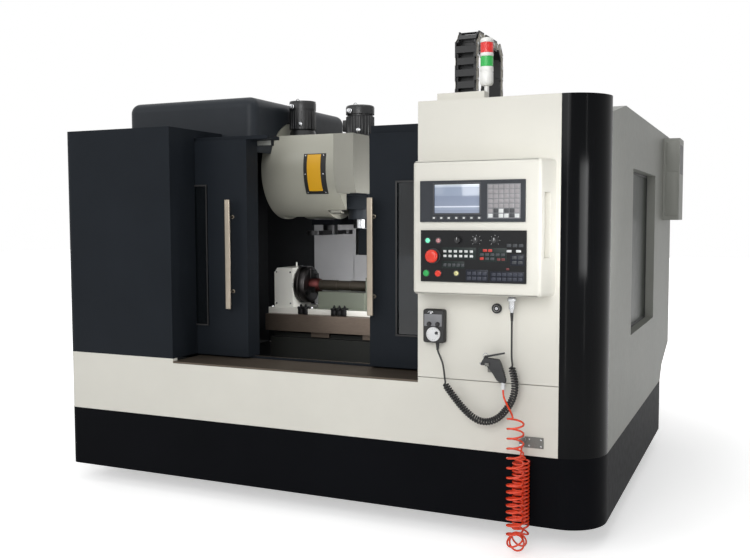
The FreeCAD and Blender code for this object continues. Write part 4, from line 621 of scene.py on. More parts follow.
def curled(route, across, radius, pitches, ramp_length, per_turn):
    """Points of a helix round a route; across is square to the route's plane, and it opens along the ramp."""
    line, total = route_line(route)
    spots = []
    distance, turn = 0.0, 0.0
    out = radius * MM / math.cos(math.pi / per_turn) ** 0.5
    while distance < total:
        place = distance / total * ROUTE_STEPS
        index = min(int(place), ROUTE_STEPS - 1)
        middle = line[index].lerp(line[index + 1], place - index)
        along = (line[min(index + 2, ROUTE_STEPS)] - line[max(index - 1, 0)]).normalized()
        side = across.cross(along)
        grow = min(1.0, (distance + 1e-5) / ramp_length, (total - distance + 1e-5) / ramp_length)
        spots.append(middle + (side * math.cos(turn) + across * math.sin(turn)) * out * grow)
        distance += pitches(distance / total) * MM / per_turn
        turn += 2 * math.pi / per_turn
    return spots


def soft_tube(name, spots, diameter, finish):
    """A round cord on one open spline, in metres."""
    data = bpy.data.curves.new(name, "CURVE")
    data.dimensions = "3D"
    data.resolution_u = 3
    data.bevel_depth = diameter / 2
    data.bevel_resolution = 2
    data.use_fill_caps = True
    spline = data.splines.new("NURBS")
    spline.points.add(len(spots) - 1)
    for target, spot in zip(spline.points, spots):
        target.co = (*spot, 1.0)
    spline.order_u = 3
    spline.use_endpoint_u = True
    made = bpy.data.objects.new(name, data)
    bpy.context.scene.collection.objects.link(made)
    data.materials.append(FINISH[finish])
    return made


class MACHINE_OT_cords(bpy.types.Operator):
    """The handwheel's curly cord and the spiral air hose"""
    bl_idname = "machine.cords"
    bl_label = "Cords"

    def execute(self, context):
        per_turn = context.scene.machine_sizes.turn_points
        wire = 0.009
        # Curly cord: down from its connector, round, and up into the handwheel box.
        route = [(2622, -50, 842), (2643, -50, 784), (2640, -50, 711), (2615, -50, 655), (2566, -50, 594),
                  (2507, -50, 571), (2450, -50, 582), (2372, -50, 650), (2303, -50, 740)]
        curls = curled(route, Vector((0, 1, 0)), 13.0, lambda share: 12.0, 0.016, per_turn)
        spots = [at(*spot) for spot in ((2625, -50, 1080), (2625, -50, 1040), (2625, -50, 960),
                                        (2625, -50, 895), (2625.5, -48.5, 870), (2627, -45.6, 853),
                                        (2628.2, -45.6, 843.5))]
        spots += curls[per_turn // 2:-per_turn // 2]
        spots += [at(*spot) for spot in ((2311, -52.4, 742), (2309, -50.6, 752), (2306, -50, 768),
                                         (2303, -50, 800), (2292, -45, 842), (2264, -27, 880),
                                         (2262, -25, 905), (2262, -25, 923))]
        cord = soft_tube("curly_cord", spots, wire, "black_cord")
        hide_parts("handwheel_cord")
        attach(cord, "frame")
        # Air hose: a front leg from the gun, a bend over the floor and a rear leg up to its fitting.
        route = [(2674, -155, 655), (2674, -155, 300), (2674, -155, 130), (2674, -155, 56),
                 (2674, -55, 56), (2674, -55, 130), (2674, -55, 250), (2674, -55, 440)]
        front_leg, bend, rear_leg = 549, 157, 334

        def pitch(share):
            """Spacing of the turns: open, closer near the floor, open round the bend, tight behind."""
            spot = share * (front_leg + bend + rear_leg)
            return 44.0 if spot < 300 else 30.0 if spot < 500 else 40.0 if spot < 720 else 17.0

        curls = curled(route, Vector((1, 0, 0)), 36.0, pitch, 0.030, per_turn)
        spots = [at(*spot) for spot in ((2590, -60, 732), (2590, -60, 712), (2597, -70, 694),
                                        (2618, -100, 676))]
        spots += curls[per_turn // 2:-per_turn // 2]
        spots += [at(*spot) for spot in ((2672, -44, 452), (2672, -40, 466), (2672, -40, 478))]
        hose = soft_tube("spiral_hose", spots, wire, "orange_hose")
        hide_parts("air_hose")
        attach(hose, "frame")
        return {"FINISHED"}


# ------------------------------------------------------------------ helpers for the detailed pieces
def extent(node):
    """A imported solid's box in millimetres: x0, x1, y0, y1, z0, z1."""
    low, high = (Vector(corner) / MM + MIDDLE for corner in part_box(node))
    return low.x, high.x, low.y, high.y, low.z, high.z


def pierced_plate(bm, x0, x1, y0, y1, z0, z1, holes, radius=0.0):
    """Add a plate with rectangular holes, each (x0, x1, z0, z1); its front edges are rolled."""
    xs = sorted({x0, x1, *[side for hole in holes for side in hole[:2]]})
    zs = sorted({z0, z1, *[side for hole in holes for side in hole[2:]]})

    def filled(i, k):
        if not (0 <= i < len(xs) - 1 and 0 <= k < len(zs) - 1):
            return False
        x, z = (xs[i] + xs[i + 1]) / 2, (zs[k] + zs[k + 1]) / 2
        return not any(a < x < b and c < z < d for a, b, c, d in holes)

    made = {}

    def vert(spot, y):
        if (spot, y) not in made:
            made[spot, y] = bm.verts.new(at(xs[spot[0]], y, zs[spot[1]]))
        return made[spot, y]

    for i in range(len(xs) - 1):
        for k in range(len(zs) - 1):
            if not filled(i, k):
                continue
            corners = [(i, k), (i + 1, k), (i + 1, k + 1), (i, k + 1)]
            bm.faces.new([vert(spot, y0) for spot in corners])
            bm.faces.new([vert(spot, y1) for spot in reversed(corners)])
            beside = ((i, k - 1), (i + 1, k), (i, k + 1), (i - 1, k))
            for here, there, cell in zip(corners, corners[1:] + corners[:1], beside):
                if not filled(*cell):
                    bm.faces.new([vert(here, y0), vert(here, y1), vert(there, y1), vert(there, y0)])
    if radius:
        front = at(0, y0, 0).y
        edges = [edge for edge in bm.edges if len(edge.link_faces) == 2 and edge.calc_face_angle() > 1.0
                 and all(abs(end.co.y - front) < 1e-6 for end in edge.verts)]
        bmesh.ops.bevel(bm, geom=edges, offset=radius * MM, segments=2, profile=0.5, affect="EDGES")


def key_field(bm, x, z, columns, rows, pitch_x, pitch_z, width, height, skip=(), only=None):
    """Add rows of keys with rolled edges, standing on the pendant's face."""
    for row in range(rows):
        for column in range(columns):
            if (column, row) in skip or (only and (column, row) not in only):
                continue
            left, low = x + pitch_x * column, z + pitch_z * row
            block(bm, left, left + width, FACE - KEY_RISE, FACE + 0.5, low, low + height, 1.6)


def spun(bm, first, centre, angle, axis):
    """Turn the vertices that aren't in the set first round a place in millimetres."""
    added = [vert for vert in bm.verts if vert not in first]
    bmesh.ops.rotate(bm, verts=added, cent=at(*centre), matrix=Matrix.Rotation(angle, 3, axis))


def bent_wire(bm, spots, radius, steps=8):
    """Add a round wire through places in millimetres."""
    places = [at(*spot) for spot in spots]
    rings = []
    for index, here in enumerate(places):
        before, after = places[max(index - 1, 0)], places[min(index + 1, len(places) - 1)]
        along = (after - before).normalized()
        side = along.orthogonal().normalized() if not rings else (last - along * last.dot(along)).normalized()
        last = side
        other = along.cross(side)
        rings.append([bm.verts.new(here + (side * math.cos(turn) + other * math.sin(turn)) * radius * MM)
                      for turn in (2 * math.pi * step / steps for step in range(steps))])
    for low, high in zip(rings, rings[1:]):
        for index in range(steps):
            after = (index + 1) % steps
            bm.faces.new([low[index], low[after], high[after], high[index]])
    bm.faces.new(list(reversed(rings[0])))
    bm.faces.new(rings[-1])


def curved_plate(bm, x0, x1, y, z, inner, outer, start, stop, steps=14):
    """Add a plate bent round the X axis at y, z, from angle start to stop above the front."""
    rings = []
    for step in range(steps + 1):
        angle = math.radians(start + (stop - start) * step / steps)
        across, up = -math.cos(angle), math.sin(angle)
        rings.append([bm.verts.new(at(x, y + across * reach, z + up * reach))
                      for x, reach in ((x0, inner), (x1, inner), (x1, outer), (x0, outer))])
    for low, high in zip(rings, rings[1:]):
        for index in range(4):
            after = (index + 1) % 4
            bm.faces.new([low[index], low[after], high[after], high[index]])
    bm.faces.new(list(reversed(rings[0])))
    bm.faces.new(rings[-1])


# ------------------------------------------------------------------ control pendant
class MACHINE_OT_display(bpy.types.Operator):
    """Display unit: bezel, glass, soft keys and keypad"""
    bl_idname = "machine.display"
    bl_label = "Display unit"

    def execute(self, context):
        with piece("display_bezel", "bezel_plastic", stands_for="display_unit") as bm:
            pierced_plate(bm, 2217, 2705, FACE, FACE + 8, 1488, 1673, [SCREEN], 2.5)
            screws(bm, "-y", [(x, FACE, z) for x in (2226, 2696) for z in (1497, 1664)], 7, 1.2)
        with piece("display_screen", "screen") as bm:
            block(bm, SCREEN[0], SCREEN[1], FACE + 2.5, FACE + 6, SCREEN[2], SCREEN[3], 0.6)
        with piece("display_screen_rim", "key_dark") as bm:
            frame_ring(bm, 2279, 2505, FACE - 1.2, FACE + 1, 1520, 1663, 6, 0.8)
        with piece("display_soft_keys", "key_dark") as bm:
            key_field(bm, 2274, 1499, 7, 1, 35.5, 0, 22, 14)
        with piece("display_soft_key_tops", "key_light") as bm:
            for index in range(7):
                left = 2280 + 35.5 * index
                block(bm, left, left + 10, FACE - 2.9, FACE - 2, 1502, 1510, 0.8)
        with piece("display_key_plate", "key_grey") as bm:
            block(bm, 2534, 2684, FACE - 0.9, FACE + 0.5, 1503, 1655, 0.8)
        dark = {(1, 0), (4, 0), (1, 1), (3, 1), (4, 1)}
        pale = {(2, 0), (3, 0), (5, 0), (0, 0), (2, 1)}
        with piece("display_keys", "key_pale") as bm:
            key_field(bm, 2539, 1550, 6, 5, 24, 21, 20, 17)
            key_field(bm, 2539, 1507, 6, 2, 24, 21, 20, 17, skip=dark | pale)
        with piece("display_keys_dark", "key_dark") as bm:
            key_field(bm, 2539, 1507, 6, 2, 24, 21, 22, 19, only=dark)
        with piece("display_keys_white", "key_light") as bm:
            key_field(bm, 2539, 1507, 6, 2, 24, 21, 20, 17, only=pale)
        return {"FINISHED"}


# Printed fields of the operator panel: left, right, low, high.
PRINTED_FIELDS = {
    "navy": ((2548, 2702, 1225, 1270), (2436, 2540, 1225, 1276), (2640, 2702, 1298, 1346)),
    "green": ((2322, 2484, 1322, 1374), (2496, 2624, 1312, 1374), (2322, 2430, 1280, 1312)),
}
# Its rows of keys: left, low, columns, rows, spacing across and up, width and height of a key.
KEY_ROWS = (
    ("light", "key_light", ((2330, 1330, 6, 2, 25, 21, 15, 11), (2624, 1355, 2, 1, 42, 0, 22, 11))),
    ("red", "key_red", ((2516, 1356, 2, 1, 23, 0, 19, 12), (2502, 1320, 1, 1, 25, 0, 18, 12))),
    ("dull_red", "key_maroon", ((2580, 1318, 2, 1, 20, 0, 16, 11), (2622, 1277, 1, 1, 20, 0, 14, 9))),
    ("slate", "key_slate", ((2502, 1338, 5, 1, 24, 0, 18, 12), (2526, 1320, 2, 1, 24, 0, 18, 12),
                            (2330, 1288, 5, 1, 21, 0, 16, 14), (2648, 1304, 2, 2, 27, 21, 20, 14),
                            (2624, 1378, 3, 1, 27, 0, 20, 14))),
    ("navy", "key_navy", ((2556, 1230, 6, 2, 24, 20, 19, 14), (2442, 1230, 4, 2, 24, 22, 19, 15))),
)


class MACHINE_OT_panel(bpy.types.Operator):
    """Operator panel: plate, membrane fields, keys, lamps and override knobs"""
    bl_idname = "machine.operator_panel"
    bl_label = "Operator panel"
    knob_places = ((2485, 1407), (2570, 1407))
    lamp_places = (("green", 2255, 1404, "mint_lamp"), ("pink", 2306, 1404, "pink_lamp"),
                   ("yellow", 2392, 1258, "lens_amber"))

    def execute(self, context):
        bores = ((STOP, 12), (START, 12), (HOLD, 12), (FEED, 5))
        holes = [(x - r, x + r, z - r, z + r) for (x, z), r in bores]
        with piece("operator_plate", "panel_plastic", stands_for="operator_panel") as bm:
            pierced_plate(bm, 2221, 2711, FACE, FACE + 8, 1218, 1451, holes, 2.5)
            screws(bm, "-y", [(x, FACE, z) for x in (2229, 2466, 2703) for z in (1226, 1443)], 7, 1.2)
        for hue, fields in PRINTED_FIELDS.items():
            with piece("panel_fields_" + hue, "membrane_" + hue) as bm:
                for x0, x1, z0, z1 in fields:
                    block(bm, x0, x1, FACE - 0.5, FACE + 0.5, z0, z1, 0.4)
        for name, finish, rows in KEY_ROWS:
            with piece("panel_keys_" + name, finish) as bm:
                for row in rows:
                    key_field(bm, *row)
        for name, x, z, finish in self.lamp_places:
            with piece("panel_lamp_" + name, finish) as bm:
                turned(bm, "-y", x, FACE, z, [(0, 11), (2.5, 11), (5, 9), (6.4, 5.4), (6.8, 0)], steps=24)
        with piece("panel_rings", "key_dark") as bm:
            for x, z, r in (*((x, z, 15) for _, x, z, _ in self.lamp_places), (*START, 17), (*HOLD, 17)):
                turned(bm, "-y", x, FACE, z, [
                    (-0.5, r), (1.6, r), (2.4, r - 0.8), (2.4, r - 2.6), (0.2, r - 2.8)], steps=28)
        with piece("stop_ring", "key_dark") as bm:
            turned(bm, "-y", STOP[0], FACE, STOP[1], [
                (-0.5, 35), (2.4, 35), (4, 33.5), (4, 12), (0, 11.8)], steps=40)
        with piece("panel_knobs", "black_plastic") as bm:
            for x, z in self.knob_places:
                turned(bm, "-y", x, FACE, z, [
                    (0, 18), (3, 17), (4, 14.5), (14, 13.5), (16, 12), (16, 0)], flutes=10, depth=1.0)
        with piece("knob_marks", "key_light") as bm:
            for x, z in self.knob_places:
                block(bm, x - 1.2, x + 1.2, FACE - 16.4, FACE - 15.6, z, z + 12, 0.3)
                for step in range(7):
                    first = set(bm.verts)
                    block(bm, x - 0.8, x + 0.8, FACE - 0.4, FACE + 0.4, z + 20, z + 24)
                    spun(bm, first, (x, 0, z), math.radians(-135 + 45 * step), "Y")
        return {"FINISHED"}


class MACHINE_OT_buttons(bpy.types.Operator):
    """Stop, start and hold buttons and the feed knob"""
    bl_idname = "machine.buttons"
    bl_label = "Buttons"

    def execute(self, context):
        x, z = STOP
        reach = FACE - extent("emergency_stop")[2]
        with piece("stop_mushroom", "red_button", "red_button", body="emergency_stop",
                   stands_for="emergency_stop") as bm:
            turned(bm, "-y", x, FACE, z, [
                (-2, 11), (16, 11), (16, 24), (17, 28.5), (19.5, 30), (24, 30), (28, 28.4), (reach - 3, 24),
                (reach - 1, 17), (reach - 0.4, 9), (reach, 0)], steps=48)
        for name, (x, z), finish in (("start", START, "green_button"), ("hold", HOLD, "red_button")):
            x0, x1, y0, y1, z0, z1 = extent(name + "_button")
            wide, tall = (x1 - x0) / 2, FACE - y0
            with piece(name + "_cap", finish, finish, body=name + "_button",
                       stands_for=name + "_button") as bm:
                turned(bm, "-y", x, FACE, z, [
                    (FACE - y1, 11), (4.5, 11), (4.5, wide - 0.6), (5.2, wide), (tall - 2, wide),
                    (tall - 0.6, wide - 1.2), (tall, wide - 3), (tall - 0.6, wide * 0.4), (tall - 0.8, 0)],
                    steps=32)
        x, z = FEED
        with piece("feed_knob", "black_plastic", body="feed_override", stands_for="feed_override_knob") as bm:
            turned(bm, "-y", x, FACE, z, [
                (-6, 4), (0.5, 4), (0.5, 15), (12, 14), (18.5, 13.2), (20, 12), (20, 0)], flutes=10,
                depth=0.9)
            block(bm, x - 3, x + 3, FACE - 24, FACE - 19, z - 13.5, z + 13.5, 1.4)
        with piece("feed_knob_mark", "key_light", body="feed_override") as bm:
            block(bm, x - 0.9, x + 0.9, FACE - 24.4, FACE - 23.6, z + 2, z + 13, 0.3)
        return {"FINISHED"}


# ------------------------------------------------------------------ handwheel, socket and air gun
class MACHINE_OT_handwheel(bpy.types.Operator):
    """Portable handwheel box, its dial, and the sockets beside it"""
    bl_idname = "machine.handwheel"
    bl_label = "Handwheel"

    def execute(self, context):
        with piece("handwheel_case", "black_rubber", stands_for="handwheel_box") as bm:
            block(bm, 2195, 2300, -46, 0, 923, 1081, 11, 4)
            for x in (2228, 2270):
                turned(bm, "-y", x, -46, 1012, [
                    (-1, 11.5), (3, 11), (12, 9.8), (14, 8.6), (14, 0)], flutes=8, depth=0.9)
        with piece("handwheel_plate", "key_grey") as bm:
            block(bm, 2203, 2290, -47.2, -45.5, 1002, 1058, 1.0)
        with piece("handwheel_loop", "bright_steel", "bright_steel") as bm:
            bent_wire(bm, [(LOOP[0] + 13 * math.cos(turn), -50, LOOP[1] + 9 * math.sin(turn))
                           for turn in (math.pi * step / 8 for step in range(9))], 1.8)
            turned(bm, "-y", LOOP[0], -46, LOOP[1], [(-0.5, 5.5), (2, 5), (2.6, 3.4), (2.6, 0)], steps=16)
        x, z = WHEEL
        with piece("handwheel_disc", "dial_white", "bright_steel", body="handwheel",
                   stands_for="handwheel_dial") as bm:
            turned(bm, "-y", x, -46.3, z, [
                (-18, 8), (0, 8), (0, 30), (1.5, 34), (8, 34), (10, 32)], flutes=36, depth=0.8)
            turned(bm, "-y", x, -46.3, z, [(9, 32), (11.2, 31), (11.7, 28), (10.6, 20), (10.6, 0)], steps=48)
        with piece("handwheel_marks_and_crank", "key_dark", body="handwheel") as bm:
            for step in range(20):
                first = set(bm.verts)
                long = 6 if step % 5 == 0 else 3.4
                block(bm, x - 0.5, x + 0.5, -58.3, -57.6, z + 28 - long, z + 28)
                spun(bm, first, (x, 0, z), 2 * math.pi * step / 20, "Y")
            turned(bm, "-y", x + 20, -57, z + 8, [
                (0, 4), (3, 4), (3.4, 6.6), (9, 7), (14, 6.6), (16.8, 4.4), (17, 0)], steps=20)
        with piece("handwheel_relief", "black_rubber", "black_cord") as bm:
            ribs = [(0, 5.6), (4, 6.0), (4.5, 5.7), (9, 6.6), (9.5, 6.2), (14, 7.2), (14.5, 6.8), (19, 7.8),
                    (19.5, 7.4), (24, 8.4), (24.5, 8), (36, 9.8)]
            turned(bm, "z", *RELIEF, 888, ribs, steps=20)
        with piece("connector_relief", "black_rubber", "black_cord") as bm:
            turned(bm, "z", *PLUG, 1044, [
                (0, 5.6), (5, 6), (5.5, 5.7), (11, 6.5), (11.5, 6.1), (17, 7), (17.5, 6.6), (23, 7.5),
                (23.5, 7.1), (37, 8)], steps=20)
        with piece("connector_nut", "bright_steel", "bright_steel") as bm:
            turned(bm, "z", *PLUG, 1133, [
                (0, 19), (1.5, 20.2), (13, 20.2), (14.5, 19)], flutes=24, depth=0.9)
            turned(bm, "z", *PLUG, 1150, [(0, 17), (5, 24), (8, 24)], steps=28)
        with piece("cabinet_socket", "black_plastic") as bm:
            turned(bm, "-y", SOCKET[0], 0, SOCKET[1], [
                (-0.5, 23), (11, 23), (14, 21.5), (15.4, 19), (15.4, 15), (8, 13.5), (8, 0)], steps=36)
        with piece("cabinet_socket_core", "bright_steel", "bright_steel") as bm:
            turned(bm, "-y", SOCKET[0], -7, SOCKET[1], [
                (0, 7.5), (5.5, 7.5), (6.5, 6.5), (6.5, 3), (3, 2.6), (3, 0)], steps=20)
        return {"FINISHED"}


class MACHINE_OT_air_gun(bpy.types.Operator):
    """Air gun: handle, nozzle, hanging hook, tail fitting and the hose plate's screws"""
    bl_idname = "machine.air_gun"
    bl_label = "Air gun"

    def execute(self, context):
        shape = [(2486, 838), (2514, 840), (2536, 812), (2560, 774), (2572, 766), (2602, 762), (2603, 776),
                 (2592, 812), (2580, 852), (2570, 869), (2520, 868), (2516, 873.5), (2500, 873.5),
                 (2496, 858), (2486, 848)]
        with piece("gun_handle", "black_plastic", stands_for="air_gun_body") as bm:
            outline_solid(bm, shape, -70, -50)
            bmesh.ops.bevel(bm, geom=list(bm.edges), offset=3.2 * MM, segments=3, profile=0.6, affect="EDGES")
            for index in range(6):
                level = 780 + 9 * index
                block(bm, 2566 - 4.6 * index, 2602.5 - 2.6 * index, -70.8, -49.2, level, level + 3.2, 1.2)
        with piece("gun_nozzle_and_hook", "bright_steel", "bright_steel") as bm:
            turned(bm, "x", 2479, -60, 843, [(0, 2.6), (0, 4.4), (6, 5.6), (8, 7.5), (20, 7.5)], steps=18)
            bent_wire(bm, [(2507 + 12 * math.cos(turn), -60, 880 + 12 * math.sin(turn))
                           for turn in (math.radians(-20 + 24 * step) for step in range(11))], 2.0)
        with piece("gun_tail_fitting", "dial_white", "bright_steel") as bm:
            turned(bm, "z", *GUN_TAIL, 732, [
                (0, 5.5), (0, 8.6), (3, 10), (13, 10), (15, 8.6), (34, 8.2)], steps=24)
        with piece("hose_plate_screws", "bright_steel", "bright_steel") as bm:
            screws(bm, "-y", [(2698, -4, 473), (2698, -4, 503), (2752, -4, 473), (2752, -4, 503)], 8, 2.4)
            screws(bm, "-y", [(2545, -4, 805), (2545, -4, 833)], 8, 2.4)
            turned(bm, "-y", 2672, -6, 502, [(0, 13), (8, 13), (9, 12), (9, 9.2)], steps=6)
            turned(bm, "z", *HOSE_END, 474, [
                (0, 7), (0, 10.5), (2, 12.4), (12, 12.4), (14, 11)], flutes=16, depth=0.7)
        return {"FINISHED"}


# ------------------------------------------------------------------ stack light and drag chain
class MACHINE_OT_stack_light(bpy.types.Operator):
    """Signal light: white body, two fluted lenses and a domed cap"""
    bl_idname = "machine.stack_light"
    bl_label = "Stack light"

    def execute(self, context):
        x, y, foot = 2440, 150, extent("stack_light_body")[4]
        low, lens, ring, r = 2212, 48, 16, 31
        with piece("signal_body", "lens_white", "white_paint", stands_for="stack_light_body") as bm:
            turned(bm, "z", x, y, foot, [
                (0, 26), (5, 26), (8, 22), (9, 13), (9, 11), (low - 88 - foot, 11)], steps=32)
            turned(bm, "z", x, y, low - 88, [
                (0, 14), (2, 25), (8, r - 2), (14, r), (60, r), (62, r - 1.2), (66, r - 1.2), (68, r),
                (86, r), (88, r - 1.5)], steps=40)
            turned(bm, "z", x, y, low + lens, [
                (0, r - 1.5), (2, r), (ring - 2, r), (ring, r - 1.5)], steps=40)
            top = low + 2 * lens + ring
            turned(bm, "z", x, y, top, [
                (0, r - 1.5), (2, r), (12, r), (18, r - 3), (22, r - 11), (24, 0)], steps=40)
            screws(bm, "z", [(x + 18 * math.cos(turn), y + 18 * math.sin(turn), foot + 6)
                             for turn in (math.pi / 4 + math.pi / 2 * step for step in range(4))], 6, 2.0)
        for name, base in (("green", low), ("red", low + lens + ring)):
            stands_for = "stack_light_lenses" if name == "red" else None
            with piece("signal_lens_" + name, name + "_lens", "signal_lens", stands_for=stands_for) as bm:
                turned(bm, "z", x, y, base, [(0, 27), (0.5, r - 1.2), (lens - 0.5, r - 1.2), (lens, 27)],
                       flutes=24, depth=0.8)
        return {"FINISHED"}


class MACHINE_OT_chain(bpy.types.Operator):
    """Outer plates and pins of the drag chain"""
    bl_idname = "machine.chain"
    bl_label = "Drag chain"

    def execute(self, context):
        # Spacing of the pins, the links' two sides, each link's slant from upright and the first pin's place.
        pitch, right, left = 71.5, 2000.0, 1865.0
        slants = [0] * 7 + [45] + [90] * 6 + [135] + [180] * 7
        y, z = 1389.0, 2074.3
        pins = [(y, z)]
        for slant in slants:
            y += pitch * math.sin(math.radians(slant))
            z += pitch * math.cos(math.radians(slant))
            pins.append((y, z))
        with piece("chain_side_plates", "link_plate") as bm:
            for index, slant in enumerate(slants):
                for side, out in ((right, 1), (left, -1)):
                    proud = 0.6 + 1.6 * (index % 2)
                    self.plate(bm, side, side + out * proud, pins[index], pins[index + 1], 23.0)
        with piece("chain_pins", "bright_steel", "bright_steel") as bm:
            for y, z in pins:
                for side in (right, left - 6.0):
                    turned(bm, "x", side, y, z, [
                        (0, 9), (4.5, 9), (6, 7.5), (6, 4), (4.5, 3.4), (4.5, 0)], steps=16)
        return {"FINISHED"}

    def plate(self, bm, x0, x1, start, end, radius):
        """A waisted side plate between two pins."""
        heading = math.atan2(end[1] - start[1], end[0] - start[0])
        middle = ((start[0] + end[0]) / 2, (start[1] + end[1]) / 2)
        edge = []
        for centre, facing in ((end, 0.0), (start, math.pi)):
            for step in range(9):
                turn = heading + facing + math.radians(-100 + 25 * step)
                edge.append((centre[0] + radius * math.cos(turn), centre[1] + radius * math.sin(turn)))
            waist = heading + facing + math.pi / 2
            edge.append((middle[0] + 0.72 * radius * math.cos(waist),
                         middle[1] + 0.72 * radius * math.sin(waist)))
        rings = [[bm.verts.new(at(x, *spot)) for spot in edge] for x in (x0, x1)]
        bm.faces.new(rings[0])
        bm.faces.new(list(reversed(rings[1])))
        for index in range(len(edge)):
            after = (index + 1) % len(edge)
            bm.faces.new([rings[0][after], rings[0][index], rings[1][index], rings[1][after]])


# ------------------------------------------------------------------ doors and covers
class MACHINE_OT_doors(bpy.types.Operator):
    """Window gaskets, handles and the upper rail's bare face"""
    bl_idname = "machine.doors"
    bl_label = "Doors"

    def execute(self, context):
        for side, x0, x1 in (("left", 556, 806), ("right", 1944, 2194)):
            with piece(side + "_window_gasket", "gasket", "window_glass", body=side + "_door") as bm:
                frame_ring(bm, x0, x1, 220.2, 223, 907, 1694, 9, 0.8)
            x, x2, y, _, z, z2 = extent(side + "_door_handle")
            middle = (x + x2) / 2
            with piece(side + "_handle_bar", "satin_handle", "satin_handle", body=side + "_door",
                       stands_for=side + "_door_handle") as bm:
                block(bm, x, x2, y, y + 14, z, z2, 5.5, 4)
            with piece(side + "_handle_legs", "satin_handle", "bright_steel", body=side + "_door") as bm:
                for level in (z + 95, z2 - 95):
                    turned(bm, "y", middle, y + 12, level, [(0, 7), (44, 7), (45, 10), (48, 10.6)], steps=24)
        with piece("upper_rail_face", "rail_alloy", "grey_sheet") as bm:
            block(bm, 830, 1149, 346.22, 348, 1909, 1935, 0.0)
            block(bm, 1833, 2900, 346.22, 348, 1909, 1935, 0.0)
        return {"FINISHED"}


class MACHINE_OT_motors(bpy.types.Operator):
    """Cooling fins, fan cowls and plugs of the two motors on top"""
    bl_idname = "machine.motors"
    bl_label = "Motors"

    def execute(self, context):
        x0, x1, y0, y1, z0, z1 = extent("spindle_motor")
        x, y, r = x0 + 100, (y0 + y1) / 2, 84
        with piece("spindle_motor_body", "black_motor", "black_motor", body="head",
                   stands_for="spindle_motor") as bm:
            block(bm, x - 85, x + 85, y - 85, y + 85, z0, z0 + 14, 4)
            self.body(bm, x, y, z0 + 14, z1, r)
            block(bm, x0, x0 + 48, y - 40, y + 40, z0 + 40, z0 + 110, 5)
        with piece("spindle_motor_plugs", "bright_steel", "bright_steel", body="head") as bm:
            self.plugs(bm, x, y, z0 + 14, z1, r)
        x, y, low, high, r = 1035, 920, 2046, 2216, 80
        with piece("magazine_motor_body", "black_motor", "black_motor") as bm:
            self.body(bm, x, y, low, high, r)
        with piece("magazine_motor_plugs", "bright_steel", "bright_steel") as bm:
            self.plugs(bm, x, y, low, high, r)
        return {"FINISHED"}

    def body(self, bm, x, y, low, high, r):
        """Finned barrel, a waist and a fan cowl with a dished end."""
        tall = high - low
        turned(bm, "z", x, y, low, [(0, r + 1), (4, r + 1.5), (0.62 * tall, r + 1.5), (0.64 * tall, r - 2)],
               flutes=26, depth=5)
        turned(bm, "z", x, y, low, [(0.6 * tall, r - 7), (0.69 * tall, r - 7), (0.7 * tall, r + 1.5),
                                    (0.93 * tall, r + 2), (0.98 * tall, r - 2), (tall, r - 9), (tall, r - 26),
                                    (0.97 * tall, r - 30), (0.97 * tall, 0)], steps=56)

    def plugs(self, bm, x, y, low, high, r):
        """Two cable plugs on the front and a lifting eye."""
        turned(bm, "-y", x - 30, y - r + 8, low + 0.8 * (high - low), [
            (0, 15), (12, 15), (13, 12), (26, 12), (27, 8)], steps=24)
        turned(bm, "-y", x + 26, y - r + 8, low + 28, [
            (0, 13), (10, 13), (11, 10), (20, 10), (21, 7)], steps=24)
        bent_wire(bm, [(x + 11 * math.cos(turn), y - r + 18, high + 0.5 + 10 * math.sin(turn))
                       for turn in (math.pi * step / 8 for step in range(9))], 2.4)


class MACHINE_OT_head(bpy.types.Operator):
    """Access plate on the drum with its gasket and screws"""
    bl_idname = "machine.head"
    bl_label = "Head and drum"

    def execute(self, context):
        y, z, r = 970, 1797, 295
        with piece("access_gasket", "gasket", "cream_paint") as bm:
            curved_plate(bm, 1171, 1316, y, z, r - 1, r + 3, -30, 16.5)
        with piece("access_plate", "plate_yellow", "cream_paint") as bm:
            curved_plate(bm, 1196, 1284, y, z, r + 2, r + 5.5, -26, 15.4)
        with piece("access_screws", "bright_steel", "bright_steel") as bm:
            for angle in (-28, -6.5, 14.5):
                turn = math.radians(angle)
                for x in (1183, 1300):
                    first = set(bm.verts)
                    screws(bm, "-y", [(x, y - r - 3, z)], 9, 2.4)
                    spun(bm, first, (x, y, z), -turn, "X")
        return {"FINISHED"}


